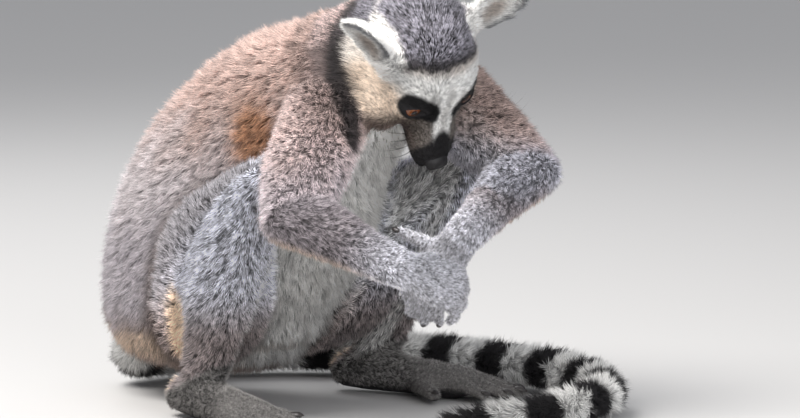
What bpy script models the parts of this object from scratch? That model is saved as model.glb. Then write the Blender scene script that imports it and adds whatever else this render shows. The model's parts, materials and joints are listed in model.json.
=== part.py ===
import math

import bmesh
import bpy
import numpy as np
from mathutils import Matrix, Vector
from mathutils.bvhtree import BVHTree

for old in list(bpy.data.objects):
    bpy.data.objects.remove(old, do_unlink=True)

# Sizes are in millimetres here and become metres when a mesh is made.
MM = 0.001
GAP = 0.3
FLOOR = 0.0

# Skeleton of the crouching animal. X runs forward, Y to its left, Z up.
HIP = Vector((-119, 35, 52))
KNEE = Vector((-30, 80, 130))
ANKLE = Vector((-84, 69, 27))
HEEL = Vector((-101, 66, 13))
BALL = Vector((-34, 84, 9))
FOOT_WAY = Vector((0.966, 0.26, 0)).normalized()

L_SHOULDER = Vector((-12, 42, 174))
R_SHOULDER = Vector((-25, -30, 171))  # pulled in, so the cheek lies over the upper arm
R_ELBOW = Vector((11, -99, 119))
R_WRIST = Vector((81, -86, 96))
L_ELBOW = Vector((59, 40, 137))
L_WRIST = Vector((66, -27, 106.5))

# The head hangs with the nose down: forward, left and up of the skull.
HEAD = Vector((28.7, -7.4, 215))
FACE = Vector((0.2644, 0.1021, -0.9587)).normalized()
HEAD_LEFT = Vector((0.2066, 0.966, 0.160))
CROWN = FACE.cross(HEAD_LEFT).normalized()
HEAD_LEFT = CROWN.cross(FACE).normalized()

# Towards the right front, where the hands are seen from.
OUT = Vector((0.665, -0.739, 0.1045))
ACROSS = Vector((0.743, 0.669, 0))
RISE = Vector((-0.070, 0.078, 0.9945))


def way(across, rise, out):
    return (ACROSS * across + RISE * rise + OUT * out).normalized()


def onHead(forward, left, up):
    return HEAD + FACE * forward + HEAD_LEFT * left + CROWN * up


def mirrored(p):
    return Vector((p.x, -p.y, p.z))


def curve(keys, steps):
    """Catmull-Rom through rows of numbers."""
    k = np.array(keys, float)
    k = np.vstack([2 * k[0] - k[1], k, 2 * k[-1] - k[-2]])
    rows = []
    for i in range(1, len(k) - 2):
        for s in range(steps):
            t = s / steps
            a, b, c, d = k[i - 1], k[i], k[i + 1], k[i + 2]
            rows.append(
                0.5
                * (
                    2 * b
                    + (c - a) * t
                    + (2 * a - 5 * b + 4 * c - d) * t**2
                    + (3 * b - a - 3 * c + d) * t**3
                )
            )
    rows.append(k[-2])
    return rows


def tube(stations, side, sides=18, steps=4, square=1.0, cap=1.0):
    """Closed body through (centre, half width, half depth); side is the width axis."""
    rows = curve([(*c, w, d) for c, w, d in stations], steps)
    centres = [Vector(r[:3]) for r in rows]
    last = len(rows) - 1
    rings = []
    for i, row in enumerate(rows):
        along = (centres[min(i + 1, last)] - centres[max(i - 1, 0)]).normalized()
        across = (side - along * side.dot(along)).normalized()
        rings.append((centres[i], along, across, along.cross(across), row[3], row[4]))
    capped = []
    for end, sign in ((rings[0], -1), (rings[-1], 1)):
        c, along, across, deep, w, d = end
        r = min(w, d)
        for turn in (25, 50, 70):
            a = math.radians(turn)
            capped.append(
                (
                    sign,
                    c + along * (sign * r * cap * math.sin(a)),
                    along,
                    across,
                    deep,
                    w * math.cos(a),
                    d * math.cos(a),
                )
            )
    first = [x[1:] for x in reversed(capped[:3])]
    rings = first + rings + [x[1:] for x in capped[3:]]
    bm = bmesh.new()
    loops = []
    for c, along, across, deep, w, d in rings:
        loop = []
        for n in range(sides):
            a = 2 * math.pi * n / sides
            x, y = math.cos(a), math.sin(a)
            swell = 1 + (square - 1) * (2 * abs(x * y)) ** 2
            loop.append(bm.verts.new(c + across * (w * x * swell) + deep * (d * y * swell)))
        loops.append(loop)
    for one, two in zip(loops, loops[1:]):
        for n in range(sides):
            m = (n + 1) % sides
            bm.faces.new((one[n], one[m], two[m], two[n]))
    bm.faces.new(list(reversed(loops[0])))
    bm.faces.new(loops[-1])
    bmesh.ops.recalc_face_normals(bm, faces=bm.faces)
    return bm


def blob(centre, axes, radii, cup=0.0, seg=20):
    """Ellipsoid on three axes; cup bends it into a bowl along the third."""
    bm = bmesh.new()
    bmesh.ops.create_uvsphere(bm, u_segments=seg, v_segments=seg // 2 + 2, radius=1)
    a, b, c = [v.normalized() for v in axes]
    for v in bm.verts:
        x, y, z = v.co
        lift = radii[2] * z - cup * (1 - min(1, x * x + y * y))
        v.co = centre + a * (radii[0] * x) + b * (radii[1] * y) + c * lift
    bmesh.ops.recalc_face_normals(bm, faces=bm.faces)
    return bm


def toObject(name, pieces):
    """One object holding every given bmesh, in metres."""
    mesh = bpy.data.meshes.new(name)
    whole = bmesh.new()
    for bm in pieces:
        part = bpy.data.meshes.new("tmp")
        bm.to_mesh(part)
        bm.free()
        whole.from_mesh(part)
        bpy.data.meshes.remove(part)
    for v in whole.verts:
        v.co *= MM
    whole.to_mesh(mesh)
    whole.free()
    obj = bpy.data.objects.new(name, mesh)
    bpy.context.scene.collection.objects.link(obj)
    return obj


def bake(obj):
    graph = bpy.context.evaluated_depsgraph_get()
    graph.update()
    mesh = bpy.data.meshes.new_from_object(obj.evaluated_get(graph))
    obj.modifiers.clear()
    obj.data = mesh
    return obj


def fused(name, pieces, voxel, triangles, smooth=6, flat=True):
    """Fuses overlapping pieces to one smooth body of about this many triangles."""
    obj = toObject(name, pieces)
    remesh = obj.modifiers.new("fuse", "REMESH")
    remesh.mode = "VOXEL"
    remesh.voxel_size = voxel * MM
    soft = obj.modifiers.new("soften", "SMOOTH")
    soft.factor = 0.5
    soft.iterations = smooth
    bake(obj)
    if flat:
        for v in obj.data.vertices:
            v.co.z = max(v.co.z, FLOOR)
    thin = obj.modifiers.new("thin", "DECIMATE")
    obj.data.calc_loop_triangles()
    thin.ratio = triangles / len(obj.data.loop_triangles)
    thin.use_collapse_triangulate = True
    bake(obj)
    if flat:
        for v in obj.data.vertices:
            if v.co.z < 0.25 * MM:
                v.co.z = FLOOR
    return obj


def carve(obj, cutter, creased=False):
    cut = obj.modifiers.new("cut", "BOOLEAN")
    cut.operation = "DIFFERENCE"
    cut.solver = "EXACT"
    cut.use_self = creased
    cut.object = cutter
    bake(obj)
    bpy.data.objects.remove(cutter, do_unlink=True)


def swollen(obj, by):
    """A copy of the object pushed out by this many millimetres."""
    copy = bpy.data.objects.new("swollen", obj.data.copy())
    bpy.context.scene.collection.objects.link(copy)
    for v in copy.data.vertices:
        v.co = v.co + v.normal * (by * MM)
    return copy


def slab(centre, normal, radius, thick=GAP):
    """A thin disc that parts a limb."""
    bm = bmesh.new()
    bmesh.ops.create_cone(
        bm, cap_ends=True, segments=12, radius1=radius, radius2=radius, depth=thick
    )
    turn = Vector((0, 0, 1)).rotation_difference(normal.normalized()).to_matrix().to_4x4()
    bm.transform(Matrix.Translation(centre) @ turn)
    return toObject("slab", [bm])


def loose(obj):
    """The separate shells of a mesh, largest first, as lists of faces."""
    bm = bmesh.new()
    bm.from_mesh(obj.data)
    bm.faces.ensure_lookup_table()
    left, shells = set(bm.faces), []
    while left:
        stack, shell = [left.pop()], []
        while stack:
            face = stack.pop()
            shell.append(face)
            for edge in face.edges:
                for other in edge.link_faces:
                    if other in left:
                        left.discard(other)
                        stack.append(other)
        shells.append(shell)
    return bm, sorted(shells, key=len, reverse=True)


def parted(obj, seeds):
    """Splits the object into its shells and names each after the nearest seed."""
    bm, shells = loose(obj)
    found = {}
    for shell in shells:
        verts = {v for f in shell for v in f.verts}
        middle = sum((v.co for v in verts), Vector()) / len(verts) / MM
        name = min(seeds, key=lambda n: (seeds[n] - middle).length)
        if name in found or len(shell) < 12:
            print("left out a shell of", len(shell), "faces by", name, [round(c) for c in middle])
            continue
        part = bmesh.new()
        index = {v: part.verts.new(v.co) for v in verts}
        for f in shell:
            part.faces.new([index[v] for v in f.verts])
        mesh = bpy.data.meshes.new(name)
        part.to_mesh(mesh)
        part.free()
        found[name] = bpy.data.objects.new(name, mesh)
        bpy.context.scene.collection.objects.link(found[name])
    bm.free()
    bpy.data.objects.remove(obj, do_unlink=True)
    return found


# Torso, from the rump over the arched back to the neck, then the skull.
Y_AXIS = Vector((0, 1, 0))
torsoKeys = [
    ((-143, 0, 30), 51, 58),
    ((-142, 0, 44), 57, 67),
    ((-137, 0, 66), 61, 71),
    ((-127, 0, 90), 62, 73),
    ((-107, 0, 118), 61, 74),
    ((-79, 0, 152), 56, 63),
    ((-49, 0, 176), 51, 49),
    ((-26, 1, 193), 43, 37),
    ((-12, 2, 204), 36, 31),
]
torso = tube([(Vector(c), w, d) for c, w, d in torsoKeys], Y_AXIS, 22, 4, 1.03, 0.3)

headKeys = [
    (-14, -16, 25.5, 26),
    (-5, -16.5, 28.5, 28.5),
    (7, -17, 31, 30.5),
    (19, -19, 30, 32),
    (29, -20, 25.5, 28),
    (37, -23, 19, 20.5),
    (44.5, -26, 15, 15),
    (53, -29, 12.6, 12.6),
    (61, -31.5, 10.8, 11),
    (66.5, -33, 8.8, 9.4),
]
skull = tube(
    [(onHead(g, 0, t), w, h) for g, t, h, w in headKeys], HEAD_LEFT, 20, 3, 1.04, 0.55
)
throat = tube(
    [(onHead(14, 0, -40), 22, 16), (onHead(4, 0, -50), 28, 22), (Vector((-26, 2, 180)), 34, 26)],
    HEAD_LEFT,
)
nape = tube(
    [(onHead(-2, 0, -18), 27, 24), (onHead(-7, 0, -36), 30, 25), (Vector((-32, 1, 190)), 38, 32)],
    HEAD_LEFT,
)

# Full cheeks stand out at the back of the jaw.
cheeks = [
    blob(onHead(26, 18.5 * s, -32.5), (FACE + HEAD_LEFT * (0.25 * s), HEAD_LEFT, CROWN), (21, 19, 14))
    for s in (1, -1)
]

# Ears are shallow cups. The left one faces up, and the right one is turned out and forward.
EAR = {"long": 21, "wide": 15, "thick": 3.2, "cup": 7}
EAR_SET = {  # root, way it stands and way it faces, along the face, to the left and up
    1: ((4, 24, -3), (-0.20, 0.90, 0.38), (0.55, 0.35, 0.75)),
    -1: ((15, -31, -6.5), (-0.70, -0.60, 0.25), (0.58, -0.80, -0.12)),
}


def headWay(forward, left, up):
    return (FACE * forward + HEAD_LEFT * left + CROWN * up).normalized()


def earAxes(s):
    _, stands, faces = EAR_SET[s]
    a, n = headWay(*stands), headWay(*faces)
    n = (n - a * n.dot(a)).normalized()
    return a, n.cross(a), n


def ear(s):
    a, b, n = earAxes(s)
    root = onHead(*EAR_SET[s][0])
    cup = blob(root + a * 20, (a, b, n), (EAR["long"], EAR["wide"], EAR["thick"]), EAR["cup"])
    stem = blob(root + a * 3 - n * 4, (a, b, n), (11, 11, 8))
    return [cup, stem]


# Arms: each is a shoulder muscle, upper arm, forearm, palm, four fingers and a thumb.
FINGERS = (  # place across the palm, length, size
    (-1.0, 27, 3.3),
    (-0.35, 32, 3.5),
    (0.35, 34, 3.5),
    (1.0, 27, 3.2),
)


def hand(wrist, along, back, curl, thumbTo, s):
    along = along.normalized()
    back = (back - along * back.dot(along)).normalized()
    wide = back.cross(along) * s
    palm = tube(
        [
            (wrist - along * 4, 10.5, 9.5),
            (wrist + along * 8, 11, 8.5),
            (wrist + along * 22, 13.5, 8),
            (wrist + along * 33, 13.5, 7),
        ],
        wide,
        16,
        3,
    )
    pieces = [palm]
    for place, length, size in FINGERS:
        p = wrist + along * (31 - abs(place) * 3) + wide * (place * 10.2)
        turn = place * 0.10
        d = (along + wide * turn).normalized()
        line = [(p - d * 6, size + 0.8, size + 0.8), (p, size + 0.6, size + 0.5)]
        for part, bend in zip((0.40, 0.33, 0.27), curl):
            d = (d * math.cos(bend) - back * math.sin(bend)).normalized()
            p = p + d * (length * part)
            line.append((p.copy(), size, size * 0.95))
        pieces.append(tube(line, wide, 10, 3))
    base = wrist + along * 11 + wide * 9
    to = (along * thumbTo[0] + wide * thumbTo[1] - back * thumbTo[2]).normalized()
    pieces.append(
        tube(
            [
                (base - to * 4, 5, 5),
                (base + to * 8, 4.3, 4.2),
                (base + to * 17, 3.9, 3.6),
                (base + to * 24, 3.3, 3.0),
            ],
            along,
            10,
            3,
        )
    )
    return pieces


def arm(shoulder, elbow, wrist, inner, bulk):
    upper = (elbow - shoulder).normalized()
    fore = (wrist - elbow).normalized()
    hinge = upper.cross(fore).normalized()
    mid = shoulder.lerp(elbow, 0.5)
    limb = [
        tube(
            [
                (inner, bulk - 3, bulk - 1),
                (shoulder, bulk, bulk + 2),
                (mid, 22, 25),
                (shoulder.lerp(elbow, 0.85), 18, 20.5),
                (elbow, 15.5, 17),
            ],
            hinge,
            18,
            4,
        ),
        tube(
            [
                (elbow - fore * 2, 15, 16.5),
                (elbow.lerp(wrist, 0.25) - upper * 3, 15.5, 17.5),
                (elbow.lerp(wrist, 0.6) - upper * 1, 12.5, 13.5),
                (wrist, 10.5, 10.5),
            ],
            hinge,
            18,
            4,
        ),
    ]
    return limb


R_PALM = way(0.78, -0.27, -0.56)
L_PALM = way(-0.52, -0.80, -0.25)
rightHand = hand(R_WRIST, R_PALM, way(0.45, 0.2, 0.85), (0.4, 0.8, 0.7), (0.75, 0.35, 0.6), 1)
leftHand = hand(L_WRIST, L_PALM, way(-0.15, 0.15, 0.95), (0.35, 0.6, 0.5), (0.25, 0.9, 0.2), -1)

# Legs fold under the body, the thigh pressed on the shank.
TOES = (  # place across the foot, length, size
    (-1.0, 22, 4.0),
    (-0.36, 29, 4.3),
    (0.30, 31, 4.4),
    (0.95, 27, 4.2),
)


def leg(s):
    def p(v):
        return Vector((v.x, v.y * s, v.z))

    hip, knee, ankle, heel, ball = p(HIP), p(KNEE), p(ANKLE), p(HEEL), p(BALL)
    f = p(FOOT_WAY)
    out = Vector((0.26, -0.966 * s, 0)) * -1
    side = Vector((0, 1, 0))
    pieces = [
        tube(
            [
                (hip + Vector((-12, -6 * s, 2)), 30, 38),
                (hip.lerp(knee, 0.22), 31, 43),
                (hip.lerp(knee, 0.5) + Vector((-3, 2 * s, 2)), 28, 37),
                (hip.lerp(knee, 0.8) + Vector((-2, 2 * s, 1)), 22, 25),
                (knee + Vector((0, 0, 1)), 17.5, 18),
            ],
            side,
            20,
            4,
        ),
        tube(
            [
                (knee, 17, 18),
                (knee.lerp(ankle, 0.3) + Vector((-3, 0, 0)), 19, 23),
                (knee.lerp(ankle, 0.6) + Vector((-3, 0, 0)), 18, 23.5),
                (knee.lerp(ankle, 0.86) + Vector((1, 0, 0)), 14, 18),
                (ankle + Vector((1, 0, -3)), 12, 13.5),
            ],
            side,
            20,
            4,
        ),
        tube(
            [
                (heel + Vector((0, 0, 0)), 10.5, 12.5),
                (heel.lerp(ball, 0.3) + Vector((0, 0, 1)), 12, 13.5),
                (heel.lerp(ball, 0.65), 13.5, 11.5),
                (ball, 16, 9.5),
                (ball + f * 9, 15, 7.5),
            ],
            out,
            18,
            3,
        ),
    ]
    for place, length, size in TOES:
        q = ball + f * (7 - abs(place) * 3) + out * (place * 11.5)
        d = (f + out * (place * 0.20)).normalized()
        pieces.append(
            tube(
                [
                    (q - d * 6, size + 1, size + 1.5),
                    (q + d * (length * 0.3), size, size + 0.6) ,
                    (q + d * (length * 0.65) - Vector((0, 0, 2.5)), size, size),
                    (q + d * length - Vector((0, 0, 4.5)), size * 0.9, size * 0.85),
                ],
                out,
                10,
                3,
            )
        )
    # The big toe leaves the inner side and grips outwards.
    q = ball - f * 20 - out * 9
    d = (f * 0.72 - out * 0.69).normalized()
    pieces.append(
        tube(
            [
                (q - d * 6, 6.5, 6.5),
                (q + d * 8 - Vector((0, 0, 1.5)), 5.6, 5.6),
                (q + d * 20 - Vector((0, 0, 3)), 5.4, 5.2),
                (q + d * 29 - Vector((0, 0, 4)), 4.6, 4.2),
            ],
            out,
            10,
            3,
        )
    )
    return pieces


# The tail drops from the rump and lies on the ground around the left side.
tailKeys = [
    ((-166, -10, 46), 13),
    ((-184, -12, 34), 14.5),
    ((-199, -6, 20), 15.5),
    ((-207, 18, 14), 16),
    ((-196, 58, 13.5), 16),
    ((-162, 98, 13.5), 16),
    ((-112, 122, 13.5), 16),
    ((-55, 132, 13.5), 16),
    ((3, 128, 13.5), 15.5),
    ((52, 106, 13), 15),
    ((80, 68, 12.5), 14.5),
    ((84, 26, 11.5), 13),
    ((68, -8, 10), 10.5),
    ((52, -24, 8.5), 8),
]
tailStations = [(Vector(c), r, r) for c, r in tailKeys]

# Bodies.
body = fused(
    "torso", [torso, skull, throat, nape, *cheeks, *ear(1), *ear(-1)], 2.0, 1820, 8
)
armR = fused(
    "armR",
    arm(R_SHOULDER, R_ELBOW, R_WRIST, Vector((-38, -22, 172)), 23) + rightHand,
    1.5,
    850,
    4,
)
armL = fused(
    "armL",
    arm(L_SHOULDER, L_ELBOW, L_WRIST, Vector((-30, 24, 176)), 27) + leftHand,
    1.5,
    850,
    4,
)
legR = fused("legR", leg(-1), 1.6, 740, 4)
legL = fused("legL", leg(1), 1.6, 740, 4)
tail = fused("tail", [tube(tailStations, Vector((0, 0, 1)), 18, 4)], 2.0, 580, 4)

# Limbs and tail end where they meet the torso.
for limb in (armR, armL, legR, legL, tail):
    carve(limb, swollen(body, GAP + 0.05), True)
for limb, near in ((legR, armR), (legL, armL), (legR, tail), (legL, tail)):
    carve(limb, swollen(near, GAP + 0.05), True)

# Thin cuts part the bodies.
BOW = Vector((0.86, 0, 0.51))
carve(body, slab(Vector((-22, 2, 195.4)), BOW, 52))
carve(body, slab(Vector((-35, 1, 190)), BOW, 58))
carve(body, slab(onHead(4, 33, 1), earAxes(1)[0], 21))
carve(body, slab(onHead(7, -34.5, -4), headWay(-0.5, -0.85, 0.1), 22))

EYE = {"radius": 8.4, "place": (28, 12.5, -18), "look": (0.80, 0.50, 0.33), "bulge": 1.6}
NOSE = {"place": (68, 0, -29.5), "radii": (6, 7.6, 5.8)}


def eyeSpot(s):
    """The eye looks along its axis and stands this far out of the face."""
    g, l, t = EYE["place"]
    x, y, z = EYE["look"]
    start = onHead(g, l * s, t)
    look = (FACE * x + HEAD_LEFT * (y * s) + CROWN * z).normalized()
    hit = face.ray_cast(start * MM, look)[0] / MM
    return hit + look * (EYE["bulge"] - EYE["radius"])


def sphere(name, centre, radius, seg=14):
    return toObject(
        name, [blob(centre, (FACE, HEAD_LEFT, CROWN), (radius,) * 3, 0, seg)]
    )


def nosePad(name, extra, seg):
    r = [x + extra for x in NOSE["radii"]]
    return toObject(name, [blob(onHead(*NOSE["place"]), (FACE, HEAD_LEFT, CROWN), r, 0, seg)])


whole = bmesh.new()
whole.from_mesh(body.data)
face = BVHTree.FromBMesh(whole)
leftEye, rightEye = eyeSpot(1), eyeSpot(-1)
whole.free()
for spot in (leftEye, rightEye):
    carve(body, sphere("socket", spot, EYE["radius"] + GAP))
carve(body, nosePad("nostrilBed", GAP, 12))
eyes = {
    "eye_left": sphere("eye_left", leftEye, EYE["radius"]),
    "eye_right": sphere("eye_right", rightEye, EYE["radius"]),
    "nose": nosePad("nose", 0, 12),
}

for limb, shoulder, elbow, wrist, palm in (
    (armR, R_SHOULDER, R_ELBOW, R_WRIST, R_PALM),
    (armL, L_SHOULDER, L_ELBOW, L_WRIST, L_PALM),
):
    upper = (elbow - shoulder).normalized()
    fore = (wrist - elbow).normalized()
    carve(limb, slab(elbow, upper + fore, 30))
    carve(limb, slab(wrist - fore * 1, fore + palm, 22))
for limb, s in ((legR, -1), (legL, 1)):
    knee = Vector((KNEE.x, KNEE.y * s, KNEE.z))
    hip = Vector((HIP.x, HIP.y * s, HIP.z))
    ankle = Vector((ANKLE.x, ANKLE.y * s, ANKLE.z))
    thighWay, shankWay = (hip - knee).normalized(), (ankle - knee).normalized()
    carve(limb, slab(knee + (thighWay + shankWay) * 32, shankWay - thighWay, 90))
    carve(limb, slab(ankle + Vector((0, 0, -3)), Vector((-0.38, 0, 1)), 34))

rows = curve([c for c, _ in tailKeys], 8)
lengths = [0.0]
for a, b in zip(rows, rows[1:]):
    lengths.append(lengths[-1] + float(np.linalg.norm(b - a)))
TAIL_PARTS = 7
tailSeeds = {}
for n in range(TAIL_PARTS):
    middle = lengths[-1] * (n + 0.5) / TAIL_PARTS
    i = min(range(len(rows)), key=lambda k: abs(lengths[k] - middle))
    tailSeeds[f"tail_{n + 1}"] = Vector(rows[i])
    if n:
        i = min(
            range(len(rows)), key=lambda k: abs(lengths[k] - lengths[-1] * n / TAIL_PARTS)
        )
        carve(tail, slab(Vector(rows[i]), Vector(rows[i + 1] - rows[i - 1]), 26))

nodes = dict(eyes)
nodes |= parted(
    body,
    {
        "trunk": Vector((-90, 0, 120)),
        "neck": Vector((-28, 2, 194)),
        "head": onHead(15, 0, -17),
        "ear_left": onHead(4, 45, 4),
        "ear_right": onHead(4, -45, 4),
    },
)
nodes |= parted(
    armR,
    {
        "upper_arm_right": R_SHOULDER.lerp(R_ELBOW, 0.5),
        "forearm_right": R_ELBOW.lerp(R_WRIST, 0.5),
        "hand_right": R_WRIST + R_PALM * 32,
    },
)
nodes |= parted(
    armL,
    {
        "upper_arm_left": L_SHOULDER.lerp(L_ELBOW, 0.5),
        "forearm_left": L_ELBOW.lerp(L_WRIST, 0.5),
        "hand_left": L_WRIST + L_PALM * 32,
    },
)
for limb, s, name in ((legR, -1, "right"), (legL, 1, "left")):
    nodes |= parted(
        limb,
        {
            f"thigh_{name}": Vector((-100, 45 * s, 80)),
            f"shank_{name}": Vector((-52, 74 * s, 80)),
            f"foot_{name}": Vector((-50, 80 * s, 10)),
        },
    )
nodes |= parted(tail, tailSeeds)

# The finished model sits centred on the floor.
low = Vector((1e9,) * 3)
high = -low
for obj in nodes.values():
    for v in obj.data.vertices:
        for k in range(3):
            low[k] = min(low[k], v.co[k])
            high[k] = max(high[k], v.co[k])
shift = Vector(((low.x + high.x) / 2, (low.y + high.y) / 2, low.z))
print("shift mm", [round(c * 1000, 2) for c in shift], "size mm", [round(c * 1000, 1) for c in high - low])

COLOURS = {
    "trunk": (0.36, 0.27, 0.22),
    "neck": (0.09, 0.08, 0.08),
    "head": (0.80, 0.77, 0.72),
    "ear": (0.85, 0.84, 0.82),
    "eye": (0.60, 0.18, 0.02),
    "nose": (0.01, 0.01, 0.012),
    "upper": (0.34, 0.27, 0.24),
    "forearm": (0.33, 0.31, 0.30),
    "hand": (0.42, 0.41, 0.41),
    "thigh": (0.34, 0.33, 0.34),
    "shank": (0.33, 0.31, 0.30),
    "foot": (0.45, 0.42, 0.38),
}


def colourOf(name):
    kind, _, rest = name.partition("_")
    if kind == "tail":
        return (0.015, 0.015, 0.02) if int(rest) % 2 == 0 else (0.80, 0.79, 0.77)
    return COLOURS[kind]


total = 0
for name, obj in nodes.items():
    obj.name = name
    for v in obj.data.vertices:
        v.co -= shift
    coat = bpy.data.materials.new(name)
    coat.use_nodes = True
    shader = coat.node_tree.nodes["Principled BSDF"]
    shader.inputs["Base Color"].default_value = (*colourOf(name), 1)
    shader.inputs["Roughness"].default_value = 0.15 if name.startswith("eye") else 0.85
    obj.data.materials.clear()
    obj.data.materials.append(coat)
    obj.data.calc_loop_triangles()
    total += len(obj.data.loop_triangles)
    print(name, len(obj.data.loop_triangles))
print("triangles", total, "nodes", len(nodes), "tail length", round(lengths[-1]))
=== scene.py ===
import json
import math

import bmesh
import bpy
import numpy as np
from mathutils import Matrix, Vector
from mathutils.bvhtree import BVHTree

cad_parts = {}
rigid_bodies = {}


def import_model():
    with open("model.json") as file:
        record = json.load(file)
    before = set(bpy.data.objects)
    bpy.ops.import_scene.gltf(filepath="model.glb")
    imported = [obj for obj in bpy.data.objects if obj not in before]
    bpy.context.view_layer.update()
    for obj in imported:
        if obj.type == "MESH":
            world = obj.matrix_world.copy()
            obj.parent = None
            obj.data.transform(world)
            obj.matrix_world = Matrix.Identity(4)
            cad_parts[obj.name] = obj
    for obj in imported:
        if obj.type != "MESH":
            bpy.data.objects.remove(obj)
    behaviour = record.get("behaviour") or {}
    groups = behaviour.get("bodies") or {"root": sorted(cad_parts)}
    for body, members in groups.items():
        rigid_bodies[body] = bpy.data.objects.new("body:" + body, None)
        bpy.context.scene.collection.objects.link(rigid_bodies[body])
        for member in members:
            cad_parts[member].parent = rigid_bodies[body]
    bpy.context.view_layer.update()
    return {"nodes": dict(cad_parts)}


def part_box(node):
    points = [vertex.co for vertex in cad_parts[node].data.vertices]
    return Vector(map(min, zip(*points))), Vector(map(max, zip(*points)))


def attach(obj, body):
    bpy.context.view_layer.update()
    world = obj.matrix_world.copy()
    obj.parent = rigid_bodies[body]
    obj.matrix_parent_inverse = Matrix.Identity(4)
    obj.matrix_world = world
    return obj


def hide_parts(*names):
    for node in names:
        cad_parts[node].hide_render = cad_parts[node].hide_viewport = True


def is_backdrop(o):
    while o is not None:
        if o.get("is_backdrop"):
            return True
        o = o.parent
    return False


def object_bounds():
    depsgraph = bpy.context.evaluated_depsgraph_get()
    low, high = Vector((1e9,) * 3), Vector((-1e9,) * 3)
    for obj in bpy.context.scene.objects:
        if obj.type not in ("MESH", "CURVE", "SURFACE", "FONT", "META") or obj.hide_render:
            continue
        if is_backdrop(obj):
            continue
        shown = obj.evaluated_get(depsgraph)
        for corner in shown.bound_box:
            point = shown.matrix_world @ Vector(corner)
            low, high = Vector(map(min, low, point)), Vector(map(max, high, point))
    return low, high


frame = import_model()
nodes = frame["nodes"]
mm = 0.001
print("frame:", len(nodes), "solids")


def unit(*v):
    v = np.array(v, float).ravel()
    return v / np.linalg.norm(v)


shift = (62.35, -16.61)  # from the middle of the animal to the frame, in mm


def at(x, y, z):
    return np.array([x + shift[0], y + shift[1], z])


sides = {"right": -1, "left": 1}
skull = {
    "centre": at(28.7, -7.4, 215),
    "forward": unit(0.2644, 0.1021, -0.9587),
    "left": unit(0.2066, 0.966, 0.160),
}
skull["up"] = unit(np.cross(skull["forward"], skull["left"]))
skull["left"] = np.cross(skull["up"], skull["forward"])
headAxes = np.stack([skull["forward"], skull["left"], skull["up"]])


nosePlace = (68, 0, -29.5)  # forward, left and up of the skull's middle


def onHead(forward, left, up):
    return skull["centre"] + np.array([forward, left, up]) @ headAxes


def toHead(points):
    return (points - skull["centre"]) @ headAxes.T


earSet = {  # root, way it stands and way it faces, along the face, to the left and up
    1: ((4, 24, -3), (-0.20, 0.90, 0.38), (0.55, 0.35, 0.75)),
    -1: ((15, -31, -6.5), (-0.70, -0.60, 0.25), (0.58, -0.80, -0.12)),
}


def earAxes(s):
    a = unit(np.array(earSet[s][1]) @ headAxes)
    n = np.array(earSet[s][2]) @ headAxes
    n = unit(n - a * n.dot(a))
    return a, np.cross(n, a), n


# Across, up and out towards the camera.
viewAxes = np.array([(0.743, 0.669, 0), (-0.070, 0.078, 0.9945), (0.665, -0.739, 0.1045)])


def towards(across, rise, out):
    return unit(viewAxes[0] * across + viewAxes[1] * rise + viewAxes[2] * out)


palmWay = {"right": towards(0.78, -0.27, -0.56), "left": towards(-0.52, -0.80, -0.25)}
palmBack = {"right": towards(0.45, 0.2, 0.85), "left": towards(-0.15, 0.15, 0.95)}
wrist = {"right": at(81, -86, 96), "left": at(66, -27, 106.5)}

# Each limb piece runs from its upper joint to its lower one.
bones = {
    "upper_arm_right": (at(-25, -30, 171), at(11, -99, 119)),
    "forearm_right": (at(11, -99, 119), wrist["right"]),
    "hand_right": (wrist["right"], wrist["right"] + palmWay["right"] * 60),
    "upper_arm_left": (at(-12, 42, 174), at(59, 40, 137)),
    "forearm_left": (at(59, 40, 137), wrist["left"]),
    "hand_left": (wrist["left"], wrist["left"] + palmWay["left"] * 60),
}
for side, s in sides.items():
    bones["thigh_" + side] = (at(-119, 35 * s, 52), at(-30, 80 * s, 130))
    bones["shank_" + side] = (at(-30, 80 * s, 130), at(-84, 69 * s, 27))
    bones["foot_" + side] = (at(-101, 66 * s, 13), at(-8, 91 * s, 8))
    bones["ear_" + side] = (onHead(*earSet[s][0]), onHead(*earSet[s][0]) + earAxes(s)[0] * 40)


# Points on a smooth curve through the keys.
def smoothLine(keys, steps):
    k = np.array(keys, float)
    k = np.vstack([2 * k[0] - k[1], k, 2 * k[-1] - k[-2]])
    rows = []
    for i in range(1, len(k) - 2):
        a, b, c, d = k[i - 1 : i + 3]
        for t in np.arange(steps) / steps:
            second, third = 2 * a - 5 * b + 4 * c - d, 3 * b - a - 3 * c + d
            rows.append(0.5 * (2 * b + (c - a) * t + second * t**2 + third * t**3))
    rows.append(k[-2])
    return np.array(rows)


spineLine = smoothLine(
    [at(-12, 2, 204), at(-26, 1, 193), at(-49, 0, 176), at(-79, 0, 152), at(-107, 0, 118),
     at(-127, 0, 90), at(-137, 0, 66), at(-142, 0, 44), at(-143, 0, 20)], 6,
)
tailLine = smoothLine(
    [at(-166, -10, 46), at(-184, -12, 34), at(-199, -6, 20), at(-207, 18, 14), at(-196, 58, 13.5),
     at(-162, 98, 13.5), at(-112, 122, 13.5), at(-55, 132, 13.5), at(3, 128, 13.5), at(52, 106, 13),
     at(80, 68, 12.5), at(84, 26, 11.5), at(68, -8, 10), at(52, -24, 8.5)], 8,
)


# Distance along the line and its direction, at the place nearest each point.
def alongLine(points, line):
    ahead = line[1:] - line[:-1]
    size = np.linalg.norm(ahead, axis=1)
    start = np.concatenate([[0], np.cumsum(size)])
    best = np.full(len(points), 1e9)
    where, way = np.zeros(len(points)), np.zeros((len(points), 3))
    for i in range(len(ahead)):
        t = np.clip((points - line[i]) @ ahead[i] / size[i] ** 2, 0, 1)
        gap = np.linalg.norm(points - line[i] - t[:, None] * ahead[i], axis=1)
        closer = gap < best
        best[closer] = gap[closer]
        where[closer] = start[i] + t[closer] * size[i]
        way[closer] = ahead[i] / size[i]
    return where, way


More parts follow.
